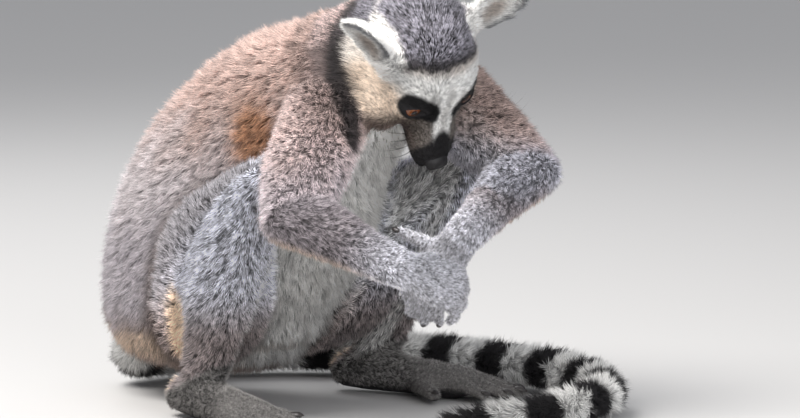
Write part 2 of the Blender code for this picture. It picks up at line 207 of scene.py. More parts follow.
def ramp(low, high, x):
    t = np.clip((x - low) / (high - low), 0, 1)
    return t * t * (3 - 2 * t)


def bell(x, width):
    return np.exp(-((x / width) ** 2))


def blend(a, b, amount):
    return a + (np.asarray(b) - a) * np.reshape(amount, (-1, 1))


def fill(node, sockets):
    for socket, value in sockets.items():
        if isinstance(value, bpy.types.NodeSocket):
            node.id_data.links.new(value, node.inputs[socket])
        else:
            node.inputs[socket].default_value = value


# Two calls for a tree: one adds a node and fills its sockets, one works out two values.
def nodeCalls(tree):
    def add(form, sockets=None, **settings):
        node = tree.nodes.new(form)
        for key, value in settings.items():
            setattr(node, key, value)
        fill(node, sockets or {})
        return node

    def number(operation, a, b):
        return add("ShaderNodeMath", {0: a, 1: b}, operation=operation).outputs[0]

    return add, number


def addInputs(tree, rows):
    for name, form, value in rows:
        socket = tree.interface.new_socket(name=name, in_out="INPUT", socket_type=form)
        if value is not None:
            socket.default_value = value


def newMaterial(name, looks):
    material = bpy.data.materials.new(name)
    material.use_nodes = True
    shader = material.node_tree.nodes["Principled BSDF"]
    fill(shader, looks)
    return material, shader, nodeCalls(material.node_tree)[0]


# A fine relief from a texture on the object's own coordinates.
def relief(add, shader, texture, out, scale, strength, depth):
    place = add("ShaderNodeTexCoord").outputs["Object"]
    grain = add(texture, {"Scale": scale, "Vector": place})
    bump = add("ShaderNodeBump", {"Strength": strength, "Distance": depth, "Height": grain.outputs[out]})
    fill(shader, {"Normal": bump.outputs["Normal"]})
    return grain


def meshOf(bm, name):
    mesh = bpy.data.meshes.new(name)
    bm.to_mesh(mesh)
    bm.free()
    return mesh


# Moves one solid into the mesh that gathers them.
def gather(whole, part):
    mesh = meshOf(part, "part")
    whole.from_mesh(mesh)
    bpy.data.meshes.remove(mesh)


skinLook = {
    "swell": 0.35,  # closes the thin cuts between the solids
    "voxel": 1.35,
    "triangles": 185000,  # once the coat is on
    "rounds": {"head": 5, "hand": 2, "foot": 3, "ear": 2, "other": 12},
}


def link(name, mesh):
    obj = bpy.data.objects.new(name, mesh)
    bpy.context.scene.collection.objects.link(obj)
    return obj


# The object's mesh with its modifiers applied.
def baked(obj, name):
    graph = bpy.context.evaluated_depsgraph_get()
    graph.update()
    mesh = bpy.data.meshes.new_from_object(obj.evaluated_get(graph))
    mesh.name = name
    obj.modifiers.clear()
    obj.data = mesh
    return mesh


def triangleCount(obj):
    obj.data.calc_loop_triangles()
    return len(obj.data.loop_triangles)


def smoothed(mesh):
    for p in mesh.polygons:
        p.use_smooth = True


def asPiece(name, mesh, material, slot, *replaced):
    smoothed(mesh)
    mesh.materials.append(material)
    obj = link(name, mesh)
    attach(obj, "root")
    if replaced:
        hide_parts(*replaced)


def places(mesh):
    co = np.empty(len(mesh.vertices) * 3, np.float32)
    mesh.vertices.foreach_get("co", co)
    return co.reshape(-1, 3).astype(float) / mm


def setPlaces(mesh, points):
    mesh.vertices.foreach_set("co", (points * mm).astype(np.float32).ravel())
    mesh.update()


def normalsOf(mesh):
    n = np.empty(len(mesh.vertices) * 3, np.float32)
    mesh.vertex_normals.foreach_get("vector", n)
    return n.reshape(-1, 3).astype(float)


def edgesOf(mesh):
    e = np.empty(len(mesh.edges) * 2, np.int32)
    mesh.edges.foreach_get("vertices", e)
    return e.reshape(-1, 2)


# Each value moves towards the mean of its neighbours.
def soften(values, edges, rounds, weight=0.5):
    n = len(values)
    flat = values.ndim == 1
    v = values.reshape(n, -1).astype(float)
    weight = np.reshape(weight, (-1, 1))
    count = np.maximum(np.bincount(edges.ravel(), minlength=n), 1)[:, None]
    a, b = edges.T
    for _ in range(rounds):
        total = [np.bincount(a, w[b], n) + np.bincount(b, w[a], n) for w in v.T]
        v = v + (np.stack(total, 1) / count - v) * weight
    return v[:, 0] if flat else v


# The name index of the solid nearest each point.
def nearestSolid(points):
    names = sorted(nodes)
    verts, faces, owner = [], [], []
    for i, name in enumerate(names):
        mesh = nodes[name].data
        mesh.calc_loop_triangles()
        first = len(verts)
        verts += [v.co.copy() for v in mesh.vertices]
        for t in mesh.loop_triangles:
            faces.append([first + k for k in t.vertices])
            owner.append(i)
    tree = BVHTree.FromPolygons(verts, faces)
    found = [owner[tree.find_nearest(Vector(p))[2]] for p in (points * mm).tolist()]
    return names, np.array(found)


def fuseSkin():
    whole = bmesh.new()
    for name in nodes:
        part = bmesh.new()
        part.from_mesh(nodes[name].data)
        bmesh.ops.remove_doubles(part, verts=part.verts, dist=1e-5)
        part.normal_update()
        for v in part.verts:
            v.co += v.normal * (skinLook["swell"] * mm)
        gather(whole, part)
    obj = link("skin", meshOf(whole, "skin"))
    fuse = obj.modifiers.new("fuse", "REMESH")
    fuse.mode = "VOXEL"
    fuse.voxel_size = skinLook["voxel"] * mm
    baked(obj, "skin")
    return obj


skin = fuseSkin()
points = places(skin.data)
names, owner = nearestSolid(points)
labels = np.array(names)[owner]
print("skin fused:", len(points), "points")

eyes = {}
for side, s in sides.items():
    low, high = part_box("eye_" + side)
    look = unit(np.array([0.80, 0.16 * s, 0.56]) @ headAxes)
    inner = np.array([0.233, -0.972 * s, 0]) @ headAxes  # towards the nose
    inner = unit(inner - look * inner.dot(look))
    lift = np.cross(look, inner) * -s
    eyes[side] = {
        "centre": np.array((low + high) / 2) / mm,
        "radius": (high.z - low.z) / 2 / mm,
        "look": look,
        "inner": inner,
        "lift": unit(lift),
    }

edges = edgesOf(skin.data)
rounds = skinLook["rounds"]
kind = np.array([n.split("_")[0] for n in names])[owner]
for step in range(rounds["other"]):
    moving = np.full(len(points), 0.5)
    for k in ("head", "hand", "foot", "ear"):
        if step >= rounds[k]:
            moving[kind == k] = 0
    moving[(kind == "eye") | (kind == "nose")] = 0.5 if step < rounds["head"] else 0
    points = soften(points, edges, 1, moving)
setPlaces(skin.data, points)


# Splits the faces whose points are all chosen.
def finer(mesh, chosen):
    bm = bmesh.new()
    bm.from_mesh(mesh)
    bm.verts.ensure_lookup_table()
    for v in bm.verts:
        v.select = False
    for i in np.flatnonzero(chosen):
        bm.verts[i].select = True
    split = [e for e in bm.edges if e.verts[0].select and e.verts[1].select]
    bmesh.ops.subdivide_edges(bm, edges=split, cuts=1, use_grid_fill=True)
    bm.to_mesh(mesh)
    bm.free()
    mesh.update()


def aroundEyes(p, reach):
    return np.any([np.linalg.norm(p - e["centre"], axis=1) < reach for e in eyes.values()], 0)


# Reach round the eyes, where the muzzle starts, its half width, and its lowest and highest place.
faceZones = (
    ((16, 42, 22, -50, 0), (15, 44, 21, -49, -1)),
    ((12.5, 60, 16, -46, 99), (12, 61, 15, -45, 99)),
)


def inZone(reach, start, wide, low, high):
    g, l, t = h.T
    return aroundEyes(points, reach) | ((g > start) & (np.abs(l) < wide) & (t > low) & (t < high))


h = toHead(points)
for split, rounded in faceZones:
    finer(skin.data, inZone(*split))
    points, edges = places(skin.data), edgesOf(skin.data)
    h = toHead(points)
    points = soften(points, edges, 3, np.where(inZone(*rounded), 0.5, 0))
    setPlaces(skin.data, points)
normals = normalsOf(skin.data)
names, owner = nearestSolid(points)
labels = np.array(names)[owner]
kind = np.array([n.split("_")[0] for n in names])[owner]
print("skin ready to shape:", len(points), "points")


coats = {  # depth in mm, raise in degrees, tuft width in mm, tufts to the square mm
    "trunk": (6.5, 46, 1.35, 0.72),
    "neck": (5.5, 44, 1.3, 0.92),
    "head": (3.6, 46, 0.92, 1.72),
    "ear": (1.8, 36, 0.85, 2.20),
    "eye": (0.6, 20, 0.5, 1.2),
    "nose": (0.6, 16, 0.5, 0.0),
    "upper": (4.6, 39, 1.15, 0.82),
    "forearm": (2.7, 32, 0.9, 1.08),
    "hand": (1.2, 26, 0.68, 1.40),
    "thigh": (6.0, 46, 1.3, 0.71),
    "shank": (4.2, 44, 1.2, 0.78),
    "foot": (1.9, 34, 0.85, 1.10),
    "tail": (6.5, 44, 1.4, 0.61),
}
table = np.array([coats[k] for k in kind])
depth, raised, width, dense = soften(table, edges, 14).T
dense = np.array([coats[k][3] for k in kind])
h = toHead(points)
g, l, t = h.T
onFace = np.isin(kind, ("head", "eye", "nose"))
muzzle = ramp(40, 54, g) * onFace
eyeGap = np.min([np.linalg.norm(points - e["centre"], axis=1) for e in eyes.values()], 0)
nearEye = ramp(17, 10.5, eyeGap) * onFace
fine = np.maximum(muzzle, nearEye)
brow = ramp(20, 30, g) * ramp(-34, -22, t) * onFace
cheek = ramp(-20, -32, t) * ramp(8, 20, np.abs(l)) * onFace
raised = raised + (34 - raised) * np.maximum(brow, cheek)
depth = depth * (1 - 0.34 * brow + 0.25 * cheek)
toes = ramp(0, 26, points[:, 0]) * (kind == "foot")
depth = depth * (1 - 0.6 * toes)
depth = depth + (0.65 - depth) * fine
raised = raised + (22 - raised) * fine
width = width * (1 - 0.15 * brow)
width = width + (0.5 - width) * fine
dense = dense * (1 + 0.15 * brow + 0.45 * fine)
nearHand = np.isin(kind, ("hand", "foot")).astype(float)  # the wrist turns into the hand little by little
for side in sides:
    a, b = bones["forearm_" + side]
    down = (points - a) @ (b - a) / (b - a).dot(b - a)
    nearHand = np.maximum(nearHand, ramp(0.45, 0.95, down) * (labels == "forearm_" + side))
wristFur = nearHand * (kind == "forearm")
depth = depth + (1.4 - depth) * wristFur
raised = raised + (27 - raised) * wristFur
depth = soften(depth, edges, 4)


# Which way the coat lies, before it is turned into the surface.
def bodyWay():
    way = np.zeros_like(points)
    _, alongSpine = alongLine(points, spineLine)
    tailPlace, alongTail = alongLine(points, tailLine)
    for name in np.unique(labels):
        here = labels == name
        if name in bones:
            a, b = bones[name]
            way[here] = unit(b - a)
        elif name.startswith("tail"):
            way[here] = alongTail[here]
        elif name in ("trunk", "neck"):
            way[here] = alongSpine[here] + np.array([0, 0, -0.45])
        else:
            back = -skull["forward"] + np.outer(ramp(6, -14, g[here]) * 1.6, -skull["up"])
            side = ramp(4, 22, np.abs(l[here])) * (0.35 + 0.9 * cheek[here])
            side = np.outer(np.sign(l[here]) * side, skull["left"])
            way[here] = back + side + np.outer(cheek[here] * 0.7, -skull["up"])
    return way, tailPlace


# The way turned into the surface, one unit long.
def laid(way):
    way = way - normals * np.sum(way * normals, 1, keepdims=True)
    return way / np.maximum(np.linalg.norm(way, axis=1, keepdims=True), 1e-6)


lie, tailPlace = bodyWay()
lie = laid(soften(laid(soften(lie, edges, 14)), edges, 3))
length = np.clip(depth / np.sin(np.radians(raised)), 1.6, 16) * np.where(kind == "ear", 1.6, 1)

# Colours are linear, as a coat of that shade reflects.
shades = {
    "rufous": (0.65, 0.478, 0.425),
    "fawn": (0.76, 0.695, 0.71),
    "silver": (0.65, 0.60, 0.635),
    "ash": (0.36, 0.27, 0.23),
    "slate": (0.56, 0.565, 0.63),
    "armPink": (0.63, 0.502, 0.478),
    "armGrey": (0.36, 0.32, 0.335),
    "handGrey": (0.76, 0.755, 0.815),
    "footGrey": (0.26, 0.247, 0.237),
    "tan": (0.56, 0.295, 0.165),
    "cream": (0.68, 0.52, 0.385),
    "straw": (0.98, 0.77, 0.58),
    "nape": (0.27, 0.210, 0.200),
    "elbow": (0.33, 0.325, 0.37),
    "creaseShade": (0.13, 0.10, 0.09),
    "shade": (0.14, 0.13, 0.134),
    "white": (0.88, 0.87, 0.85),
    "cap": (0.125, 0.120, 0.137),
    "charcoal": (0.035, 0.030, 0.031),
    "umber": (0.27, 0.20, 0.175),
    "bistre": (0.085, 0.064, 0.050),
    "black": (0.012, 0.011, 0.012),
    "leather": (0.022, 0.020, 0.022),
}
shades = {k: np.array(v) for k, v in shades.items()}


# Soft uneven values between -1 and 1 from a few crossing waves.
def blotches(p, size, seed):
    rng = np.random.default_rng(seed)
    total = np.zeros(len(p))
    for _ in range(9):
        wave = rng.normal(size=3)
        wave *= rng.uniform(0.6, 1.5) / np.linalg.norm(wave)
        total += np.sin(p @ wave * (6.28 / size) + rng.uniform(0, 6.28))
    return total / 4.5


# Distance from the line between a and b.
def lineGap(a, b, places, stretch=(1, 1, 1)):
    u = np.clip((places - a) @ (b - a) / np.dot(b - a, b - a), 0, 1)
    return np.linalg.norm((places - a - u[:, None] * (b - a)) * stretch, axis=1)


def allOver(name, strength=1):
    return np.tile(shades[name] * strength, (len(points), 1))


# Trunk and neck: rufous shoulders, silver flanks, white underneath, a dark collar.
def bodyColour(x, y, z, wander, small):
    _, spine = alongLine(points, spineLine)
    belly = np.sum(normals * np.cross((0, 1, 0), -spine), 1)
    pale = ramp(0.25, 0.65, belly + wander * 0.08)
    body = blend(allOver("ash"), shades["silver"], ramp(28, 62, z + wander * 8))
    body = blend(body, shades["fawn"], ramp(85, 128, z + wander * 12))
    body = blend(body, shades["rufous"], ramp(125, 185, z + wander * 10))
    side = np.abs(y - shift[1])
    armpit = np.exp(-(((x - 2) / 13) ** 2 + ((side - 52) / 14) ** 2 + ((z - 156) / 17) ** 2))
    body = blend(body, shades["tan"], np.clip(armpit * 1.7, 0, 0.95))
    body = blend(body, shades["straw"], ramp(9, 4, np.abs(z - 34 + wander * 3)) * 0.45)
    body = blend(body, shades["umber"], ramp(28, 16, z + wander * 4) * 0.75)
    body = blend(body, shades["white"], pale)
    nearNeck = ramp(30, 8, np.linalg.norm(points - at(-14, -6, 176), axis=1) - 26 + wander * 3)
    body = blend(body, shades["umber"], 0.45 * nearNeck * (1 - pale))

    neck = blend(allOver("nape"), shades["rufous"] * 0.62, ramp(-42, -60, t + small * 2))
    neck = blend(neck, shades["white"], ramp(0.45, 0.85, belly))
    isNeck = (kind == "neck")[:, None]
    return np.where(isNeck, neck, body), np.where(isNeck[:, 0], 0.7, 0.34 - 0.18 * pale)


# Limbs: pink upper arms, grey forearms, slate thighs, white inside, bare soles and palms.
def limbColour(x, y, z, wander):
    n = len(points)
    down = -normals[:, 2]
    upper = blend(allOver("armPink"), shades["silver"], ramp(170, 128, z + wander * 6) * 0.75)
    joint = np.linalg.norm(points - at(-8, -34, 180), axis=1) - 18
    upper = blend(upper, shades["umber"], 0.5 * ramp(20, 4, joint))
    fore = blend(allOver("armGrey"), shades["cream"], 0.45 * ramp(0.5, 0.95, down))
    left = y > shift[1]
    upper = blend(upper, shades["elbow"], 0.9 * ramp(165, 142, z + wander * 4) * left)
    # Painted shade: the top of the left upper arm is darkened with umber.
    upper = blend(upper, shades["umber"], 0.82 * ramp(148, 170, z) * left)
    fore = blend(fore, shades["slate"] * 0.85, 0.85 * ramp(118, 136, z + wander * 4) * left)
    fore = blend(fore, shades["handGrey"], 0.9 * wristFur)
    thigh = blend(allOver("slate"), shades["silver"], ramp(-10, -60, x + wander * 10) * 0.5)
    thigh = blend(thigh, shades["ash"], ramp(75, 45, z + wander * 8) * 0.7)
    # Painted shade on the upper rear edge of each thigh, set by which way its surface faces.
    for s in (-1, 1):
        rearEdgeShade = ramp(0.45, 0.90, normals @ unit(-0.45, 0.6 * s, 0.55)) * ((y - shift[1]) * s > 0)
        thigh = blend(thigh, shades["shade"], 0.85 * rearEdgeShade)
    # Painted shade: the shank grows darker umber towards the ground.
    shank = blend(allOver("slate"), shades["umber"] * 0.8, ramp(80, 45, z) * 0.8)
    plain = {
        "upper": (upper, 0.65), "forearm": (fore, 0.75), "hand": (allOver("handGrey"), 0.60),
        "thigh": (thigh, 1.15), "shank": (shank, 1.1), "foot": (allOver("footGrey"), 0.40),
    }
    colour, speck = np.zeros((n, 3)), np.zeros(n)
    for part, (shade, amount) in plain.items():
        here = kind == part
        colour[here], speck[here] = shade[here], amount
    # A straw streak runs down behind each shin.
    for s in (-1, 1):
        gap = lineGap(at(-98, 76 * s, 58), at(-116, 64 * s, 20), points, (1, 0.5, 1))
        streak = 0.97 * ramp(17, 6, gap + wander * 2) * np.isin(kind, ("thigh", "shank"))
        colour, speck = blend(colour, shades["straw"], streak), speck * (1 - 0.6 * streak)
    for side, s in sides.items():
        inner = np.isin(labels, [part + side for part in ("upper_arm_", "thigh_", "shank_")])
        inward = ramp(0.45, 0.85, -s * normals[:, 1]) * inner
        inward = inward * np.where(kind == "upper", 0.2 if s > 0 else 1, ramp(-45, -15, x))
        sole = ramp(0.35, 0.7, down) * (labels == "foot_" + side)
        palm = ramp(0.30, 0.65, -normals @ palmBack[side]) * (labels == "hand_" + side)
        colour = blend(colour, shades["white"], 0.85 * inward)
        colour = blend(colour, shades["leather"], np.maximum(sole, palm))
        speck = speck * (1 - 0.6 * inward)
    return colour, speck


tailLook = {"long": 542, "rings": 13.7, "tip": 0.955}


# Thirteen dark and pale rings, then a dark tip.
def tailColour(wander):
    ring = (tailPlace + wander) / (tailLook["long"] / tailLook["rings"])
    part = ring - np.floor(ring)
    dark = ramp(0.04, 0.09, part) * ramp(0.59, 0.54, part)
    dark = np.maximum(dark, ramp(0.0, 0.02, tailPlace / tailLook["long"] - tailLook["tip"]))
    tail = blend(allOver("white", 0.92), shades["black"] * 1.8, dark)
    return blend(tail, shades["silver"], ramp(16, 4, tailPlace) * 0.8), np.full(len(points), 0.15)


# Distance from the stem of the nearer ear.
def earGaps():
    gaps = []
    for side in sides:
        a, b = bones["ear_" + side]
        gaps.append(lineGap(a, (a + b) / 2, points))
    return np.min(gaps, 0)


# Cream cheeks, white brow and bridge, a speckled cap, black round the eyes and nose.
def headColour(small):
    away = np.abs(l)
    stem = ramp(12, 9, earGaps() + small)
    beside = ramp(23.5, 26.5, away + small) * ramp(-18, -12, g) * ramp(20, 15, g) * ramp(-18, -12, t)
    stem = np.maximum(stem, beside)
    warm = 0.75 * ramp(7, 20, away) * ramp(-2, -14, t) * (1 - 0.6 * ramp(14, 0, g))
    head = blend(allOver("white"), shades["cream"], warm)
    head = blend(head, (0.52, 0.42, 0.36), 0.55 * ramp(4.5, 0, g - (27 - 0.012 * l**2)) * ramp(-12, -4, t))
    edge = 27 - 0.012 * l**2 - g + small * 1.3
    cap = ramp(-1.4, 1.4, edge) * ramp(-15, -9, t + small)
    dark = blend(allOver("cap"), shades["charcoal"], ramp(10, 1, edge) * 0.9)
    head = blend(head, dark, cap * (1 - stem))
    nape = ramp(-5, -12, g + small * 1.5) * ramp(-9, -15, t)
    head = blend(head, shades["cap"], nape * (1 - stem))
    head = blend(head, shades["white"] * 1.08, 0.9 * stem)
    collar = ramp(-29.5, -32.5, t + small * 1.2) * ramp(42, 32, g)
    head = blend(head, blend(allOver("nape"), shades["charcoal"], ramp(-42, -37, t)), collar)
    # Painted shade under the chin: the pale underside of the jaw is darkened to brown.
    chinShade = ramp(-40, -47, t) * ramp(9, 4, away) * ramp(20, 34, g)
    head = blend(head, shades["umber"] * 0.5, chinShade * 0.8)
    side = ramp(36, 45, g + small) * ramp(5, 8.5, away + 0.10 * (g - 40)) * ramp(-40, -34, t)
    head = blend(head, shades["bistre"], 0.9 * side)
    # Painted shade under the cheeks, in umber.
    underCheekShade = ramp(-23, -29, t) * ramp(33, 40, g) * ramp(10, 14, away)
    head = blend(head, shades["umber"] * 0.7, 0.75 * underCheekShade)
    head = blend(head, (0.42, 0.40, 0.38), 0.5 * ramp(3.5, 1.5, away) * ramp(30, 40, g) * ramp(-30, -24, t))
    for e in eyes.values():
        d = points - e["centre"]
        u, v, w = d @ e["inner"] - eyePatch["inward"], d @ e["lift"] - eyePatch["lift"], d @ e["look"]
        v = v + eyePatch["droop"] * u
        long = np.where(u > 0, eyePatch["front"], eyePatch["back"])
        high = np.where(v > 0, eyePatch["above"], eyePatch["below"] - 2.2 * ramp(0, 6, u))
        far = (np.abs(u / long) ** 2.5 + np.abs(v / high) ** 2.5) ** 0.4
        head = blend(head, shades["black"], ramp(1.05, 0.92, far + small * 0.04) * (w > -3))
    snout = g + small * 0.8 + 5.5 * bell(away, 5) * ramp(-34, -24, t)
    head = blend(head, shades["black"] * 1.3, ramp(57.5, 61, snout))
    speck = 0.25 + 2.6 * np.maximum(cap * (1 - 0.75 * ramp(9, 2, edge)), nape) * (1 - stem) + 0.5 * side
    return head, speck


# White outside; inside, a dark rim over cream hair, and painted brown shade in the hollow.
def earColour(side, s):
    a, b, facing = earAxes(s)
    d = points - bones["ear_" + side][0]
    u, v = (d @ a - 20) / 20, (d @ b) / 15
    faces = normals @ facing
    inside = ramp(0.15, 0.55, faces)
    far = np.hypot(u, v)
    ear = allOver("white", 1.1)
    # Painted shade: brown deep in the hollow of the ear.
    ear = blend(ear, (0.42, 0.33, 0.27), 0.7 * inside * ramp(0.58, 0.22, np.hypot(u + 0.15, v)))
    rim = ramp(-0.15, 0.25, faces) * bell(far - 0.80, 0.17) * ramp(0.35, -0.25, v - 0.3 * u)
    return blend(ear, (0.04, 0.045, 0.06), 0.95 * rim), inside * ramp(0.95, 0.6, far)


eyePatch = {
    "front": 12.6, "back": 11.8, "above": 7.8, "below": 8.5,
    "droop": 0.26, "inward": 2.0, "lift": 1.8,
}


# Colour of the coat and how strongly it is speckled.
def markings():
    x, y, z = points.T
    wander, small = blotches(points, 26, 3), blotches(points, 9, 5)
    colour, speck = bodyColour(x, y, z, wander, small)
    limb = np.isin(kind, ("upper", "forearm", "hand", "thigh", "shank", "foot"))
    for here, (shade, amount) in (
        (limb, limbColour(x, y, z, wander)),
        (kind == "tail", tailColour(wander)),
        (onFace, headColour(small)),
    ):
        colour[here], speck[here] = shade[here], amount[here]
    # Fur is dark in the collar behind the cheeks, with painted shade where the right upper arm lies against
    # the cheek, and painted brown shade in the fold between thigh and flank.
    collar = lineGap(np.array([5, 38, -37]), np.array([44, 49, -22]), np.stack([g, np.abs(l), t], 1))
    collar = 0.95 * ramp(10, 5, collar + small) * np.isin(labels, ("trunk", "neck", "upper_arm_right"))
    colour = blend(colour, shades["charcoal"], collar)
    # Painted brown shade darkens the crease where thigh meets flank.
    parts = ("trunk",), ("thigh", "shank")
    trunk, leg = (soften(np.isin(kind, part).astype(float), edges, 50) for part in parts)
    foldShade = np.clip(4 * trunk * leg, 0, 1) * ramp(5, -20, x)
    colour = blend(colour, shades["creaseShade"], 0.8 * foldShade)
    for side, s in sides.items():
        here = labels == "ear_" + side
        shade, inside = earColour(side, s)
        colour[here], speck[here] = shade[here], 0.15
        dense[here] *= 1 - 0.6 * inside[here]
    return colour, speck


colour, speck = markings()
colour = np.clip(soften(colour, edges, 1), 0, 1)
speck = soften(speck, edges, 3)
bare = ramp(0.06, 0.028, colour.max(1)) * np.isin(kind, ("hand", "foot"))
padGap = np.linalg.norm(points - onHead(*nosePlace), axis=1)
bare = np.maximum(bare, ramp(8.4, 7.4, padGap) * ramp(-1.5, 1, g - nosePlace[0]))
dense = dense * (1 - bare)
print("markings and lie of the coat")

points = points - normals * depth[:, None]
points = soften(points, edges, 4, np.where(onFace | np.isin(kind, ("hand", "foot", "ear")), 0, 0.5))

lids = {"half": 5.3, "upper": 2.0, "lower": 3.5, "thick": 0.95, "reach": 15, "edge": 0.28}
mouth = {"low": -37.2, "groove": (1.1, 0.55), "lip": (0.28, 0.9), "apart": 1.5}  # depth and width
tear = {"deep": 0.9, "wide": 3.6}
snoutFront = {"size": (6, 7.6, 5.8), "sink": 0.26}


# Cuts the face, and tells how far inside the opening of its eye each point is.
def shapeFace(points):
    h = toHead(points)
    g, l, t = h.T
    lidded = np.full(len(points), -99.0)
    out = h.copy()
    # Mouth line, with the lips rolled on each side of it.
    gap = t - (mouth["low"] + 0.30 * (66 - g) * 0.35 + 0.02 * np.abs(l))
    along = ramp(41, 47, g) * onFace
    groove = bell(gap, mouth["groove"][1]) * along
    lip = bell(np.abs(gap) - mouth["apart"], mouth["lip"][1]) * along
    n = normals @ headAxes.T
    out += n * (-mouth["groove"][0] * groove + mouth["lip"][0] * lip)[:, None]
    # Tear line from the inner corner of each eye, and a hollow beside the bridge.
    for side, s in sides.items():
        e = eyes[side]
        c = toHead(e["centre"][None])[0]
        a = np.array([c[0] + 7, c[1] - 5 * s, c[2] + 3])
        dist = np.linalg.norm((h - a) * np.array([0.6, 1, 1]), axis=1)
        out += n * (-tear["deep"] * bell(dist, tear["wide"]) * onFace)[:, None]
    # The front of the muzzle sinks under the nose pad.
    c = np.array(nosePlace)
    d = (h - c) / np.array(snoutFront["size"])
    r = np.maximum(np.linalg.norm(d, axis=1), 0.1)
    sink = snoutFront["sink"] * ramp(-0.05, 0.22, d[:, 0] / r) * ramp(1.22, 1.05, r) * onFace
    out = c + (out - c) * (1 - sink)[:, None]
    points = skull["centre"] + out @ headAxes
    # Lids lie on the eyeball around an almond opening.
    for e in eyes.values():
        d = points - e["centre"]
        r = np.linalg.norm(d, axis=1)
        x, y, w = d @ e["inner"], d @ e["lift"], d @ e["look"]
        size = np.maximum(r, 1e-6)
        ax, ay = (np.arcsin(np.clip(v / size, -1, 1)) * e["radius"] for v in (x, y))
        q = ax / lids["half"]
        top = lids["upper"] * (1 - np.abs(q) ** 2.8)
        bottom = -lids["lower"] * (1 - np.abs(q) ** 1.8)
        beyond = np.hypot((np.abs(q) - 1) * lids["half"], ay)
        opening = np.where(np.abs(q) < 1, np.minimum(top - ay, ay - bottom), -beyond)
        close = (r < lids["reach"]) & onFace
        lidded[(w > 0) & close] = opening[(w > 0) & close]
        rim = e["radius"] + lids["thick"]
        rim = rim + 0.30 * bell(opening + 0.7, 0.6) - 0.22 * bell(opening + 2.3, 0.55)
        want = rim + (e["radius"] - 1.3 - rim) * ramp(-lids["edge"], 0.30, opening)
        newR = np.where((opening > -lids["edge"]) & (w > 0), want, np.maximum(r, want))
        newR = np.where((w > -3) & close, newR, r)
        points = e["centre"] + d * (newR / size)[:, None]
    return points, lidded


points, lidded = shapeFace(points)
setPlaces(skin.data, points)
print("face shaped")


def unwrap(obj):
    mesh = obj.data
    mesh.uv_layers.new(name="OFBake")
    bpy.context.view_layer.objects.active = obj
    for other in bpy.context.view_layer.objects:
        other.select_set(other == obj)
    bpy.ops.object.mode_set(mode="EDIT")
    bpy.ops.mesh.select_all(action="SELECT")
    bpy.ops.uv.smart_project(angle_limit=math.radians(72), island_margin=0.002)
    bpy.ops.object.mode_set(mode="OBJECT")


unwrap(skin)
print("skin unwrapped")


def addValues(mesh, name, form, field, values, domain="POINT"):
    kept = np.asarray(values, np.int32 if form == "INT" else np.float32)
    mesh.attributes.new(name, form, domain).data.foreach_set(field, kept.ravel())


def addFloat(mesh, name, values):
    addValues(mesh, name, "FLOAT", "value", values)


def addVector(mesh, name, values):
    addValues(mesh, name, "FLOAT_VECTOR", "vector", values)


def addColour(mesh, name, values):
    rgba = np.ones((len(values), 4), np.float32)
    rgba[:, :3] = values
    addValues(mesh, name, "FLOAT_COLOR", "color", rgba)


normals = normalsOf(skin.data)
lie = laid(lie)
tip = lie * np.cos(np.radians(raised))[:, None] + normals * np.sin(np.radians(raised))[:, None]
dense = dense * (1 - ramp(-1.7, -1.1, lidded))
length = length * (1 - 0.35 * ramp(-5, -2, lidded))
room = (points[:, 2] - 0.4) / np.maximum(0.35 - tip[:, 2], 0.05)  # the coat stays above the ground
length = np.clip(np.minimum(length, room), 0.3, None)
addColour(skin.data, "coatColour", colour)
addFloat(skin.data, "speckle", speck)
addVector(skin.data, "lie", tip)
addFloat(skin.data, "tuftLength", length * mm)
addFloat(skin.data, "tuftWidth", width * mm)
addFloat(skin.data, "density", dense * 1e6)
hand = soften(nearHand * (1 - bare), edges, 6)
addFloat(skin.data, "ground", 0.55 - 0.50 * ramp(0.9, 2.6, depth) - 0.32 * hand)

# Each face belongs to one piece of the coat.
coatPieces = {  # material slot, and how full the piece is
    "coat_crown": ("face_coat", 0.97),
    "coat_face": ("face_coat", 0.97),
    "coat_ears": ("face_coat", 1.0),
    "coat_neck": ("neck_coat", 1.0),
    "coat_shoulders": ("back_coat", 0.97),
    "coat_back": ("back_coat", 0.97),
    "coat_rump": ("back_coat", 0.96),
    "coat_arm_right": ("limb_coat", 0.98),
    "coat_arm_left": ("limb_coat", 0.95),
    "coat_leg_right": ("limb_coat", 0.98),
    "coat_leg_left": ("limb_coat", 0.76),
    "coat_tail_dark": ("tail_dark", 1.0),
    "coat_tail_light": ("tail_light", 1.0),
}
pieceNames = list(coatPieces)


def pieceOfPoint():
    which = np.zeros(len(points), int)
    g = toHead(points)[:, 0]

    def put(name, mask):
        which[mask] = pieceNames.index(name)

    put("coat_crown", np.isin(kind, ("head", "eye", "nose")) & (g < 14))
    put("coat_face", np.isin(kind, ("head", "eye", "nose")) & (g >= 14))
    put("coat_ears", kind == "ear")
    put("coat_neck", kind == "neck")
    z = points[:, 2]
    put("coat_rump", (kind == "trunk") & (z < 75))
    put("coat_back", (kind == "trunk") & (z >= 75) & (z < 140))
    put("coat_shoulders", (kind == "trunk") & (z >= 140))
    for side in sides:
        arm = ["upper_arm_" + side, "forearm_" + side, "hand_" + side]
        leg = ["thigh_" + side, "shank_" + side, "foot_" + side]
        put("coat_arm_" + side, np.isin(labels, arm))
        put("coat_leg_" + side, np.isin(labels, leg))
    put("coat_tail_dark", (kind == "tail") & (colour.max(1) < 0.35))
    put("coat_tail_light", (kind == "tail") & (colour.max(1) >= 0.35))
    return which


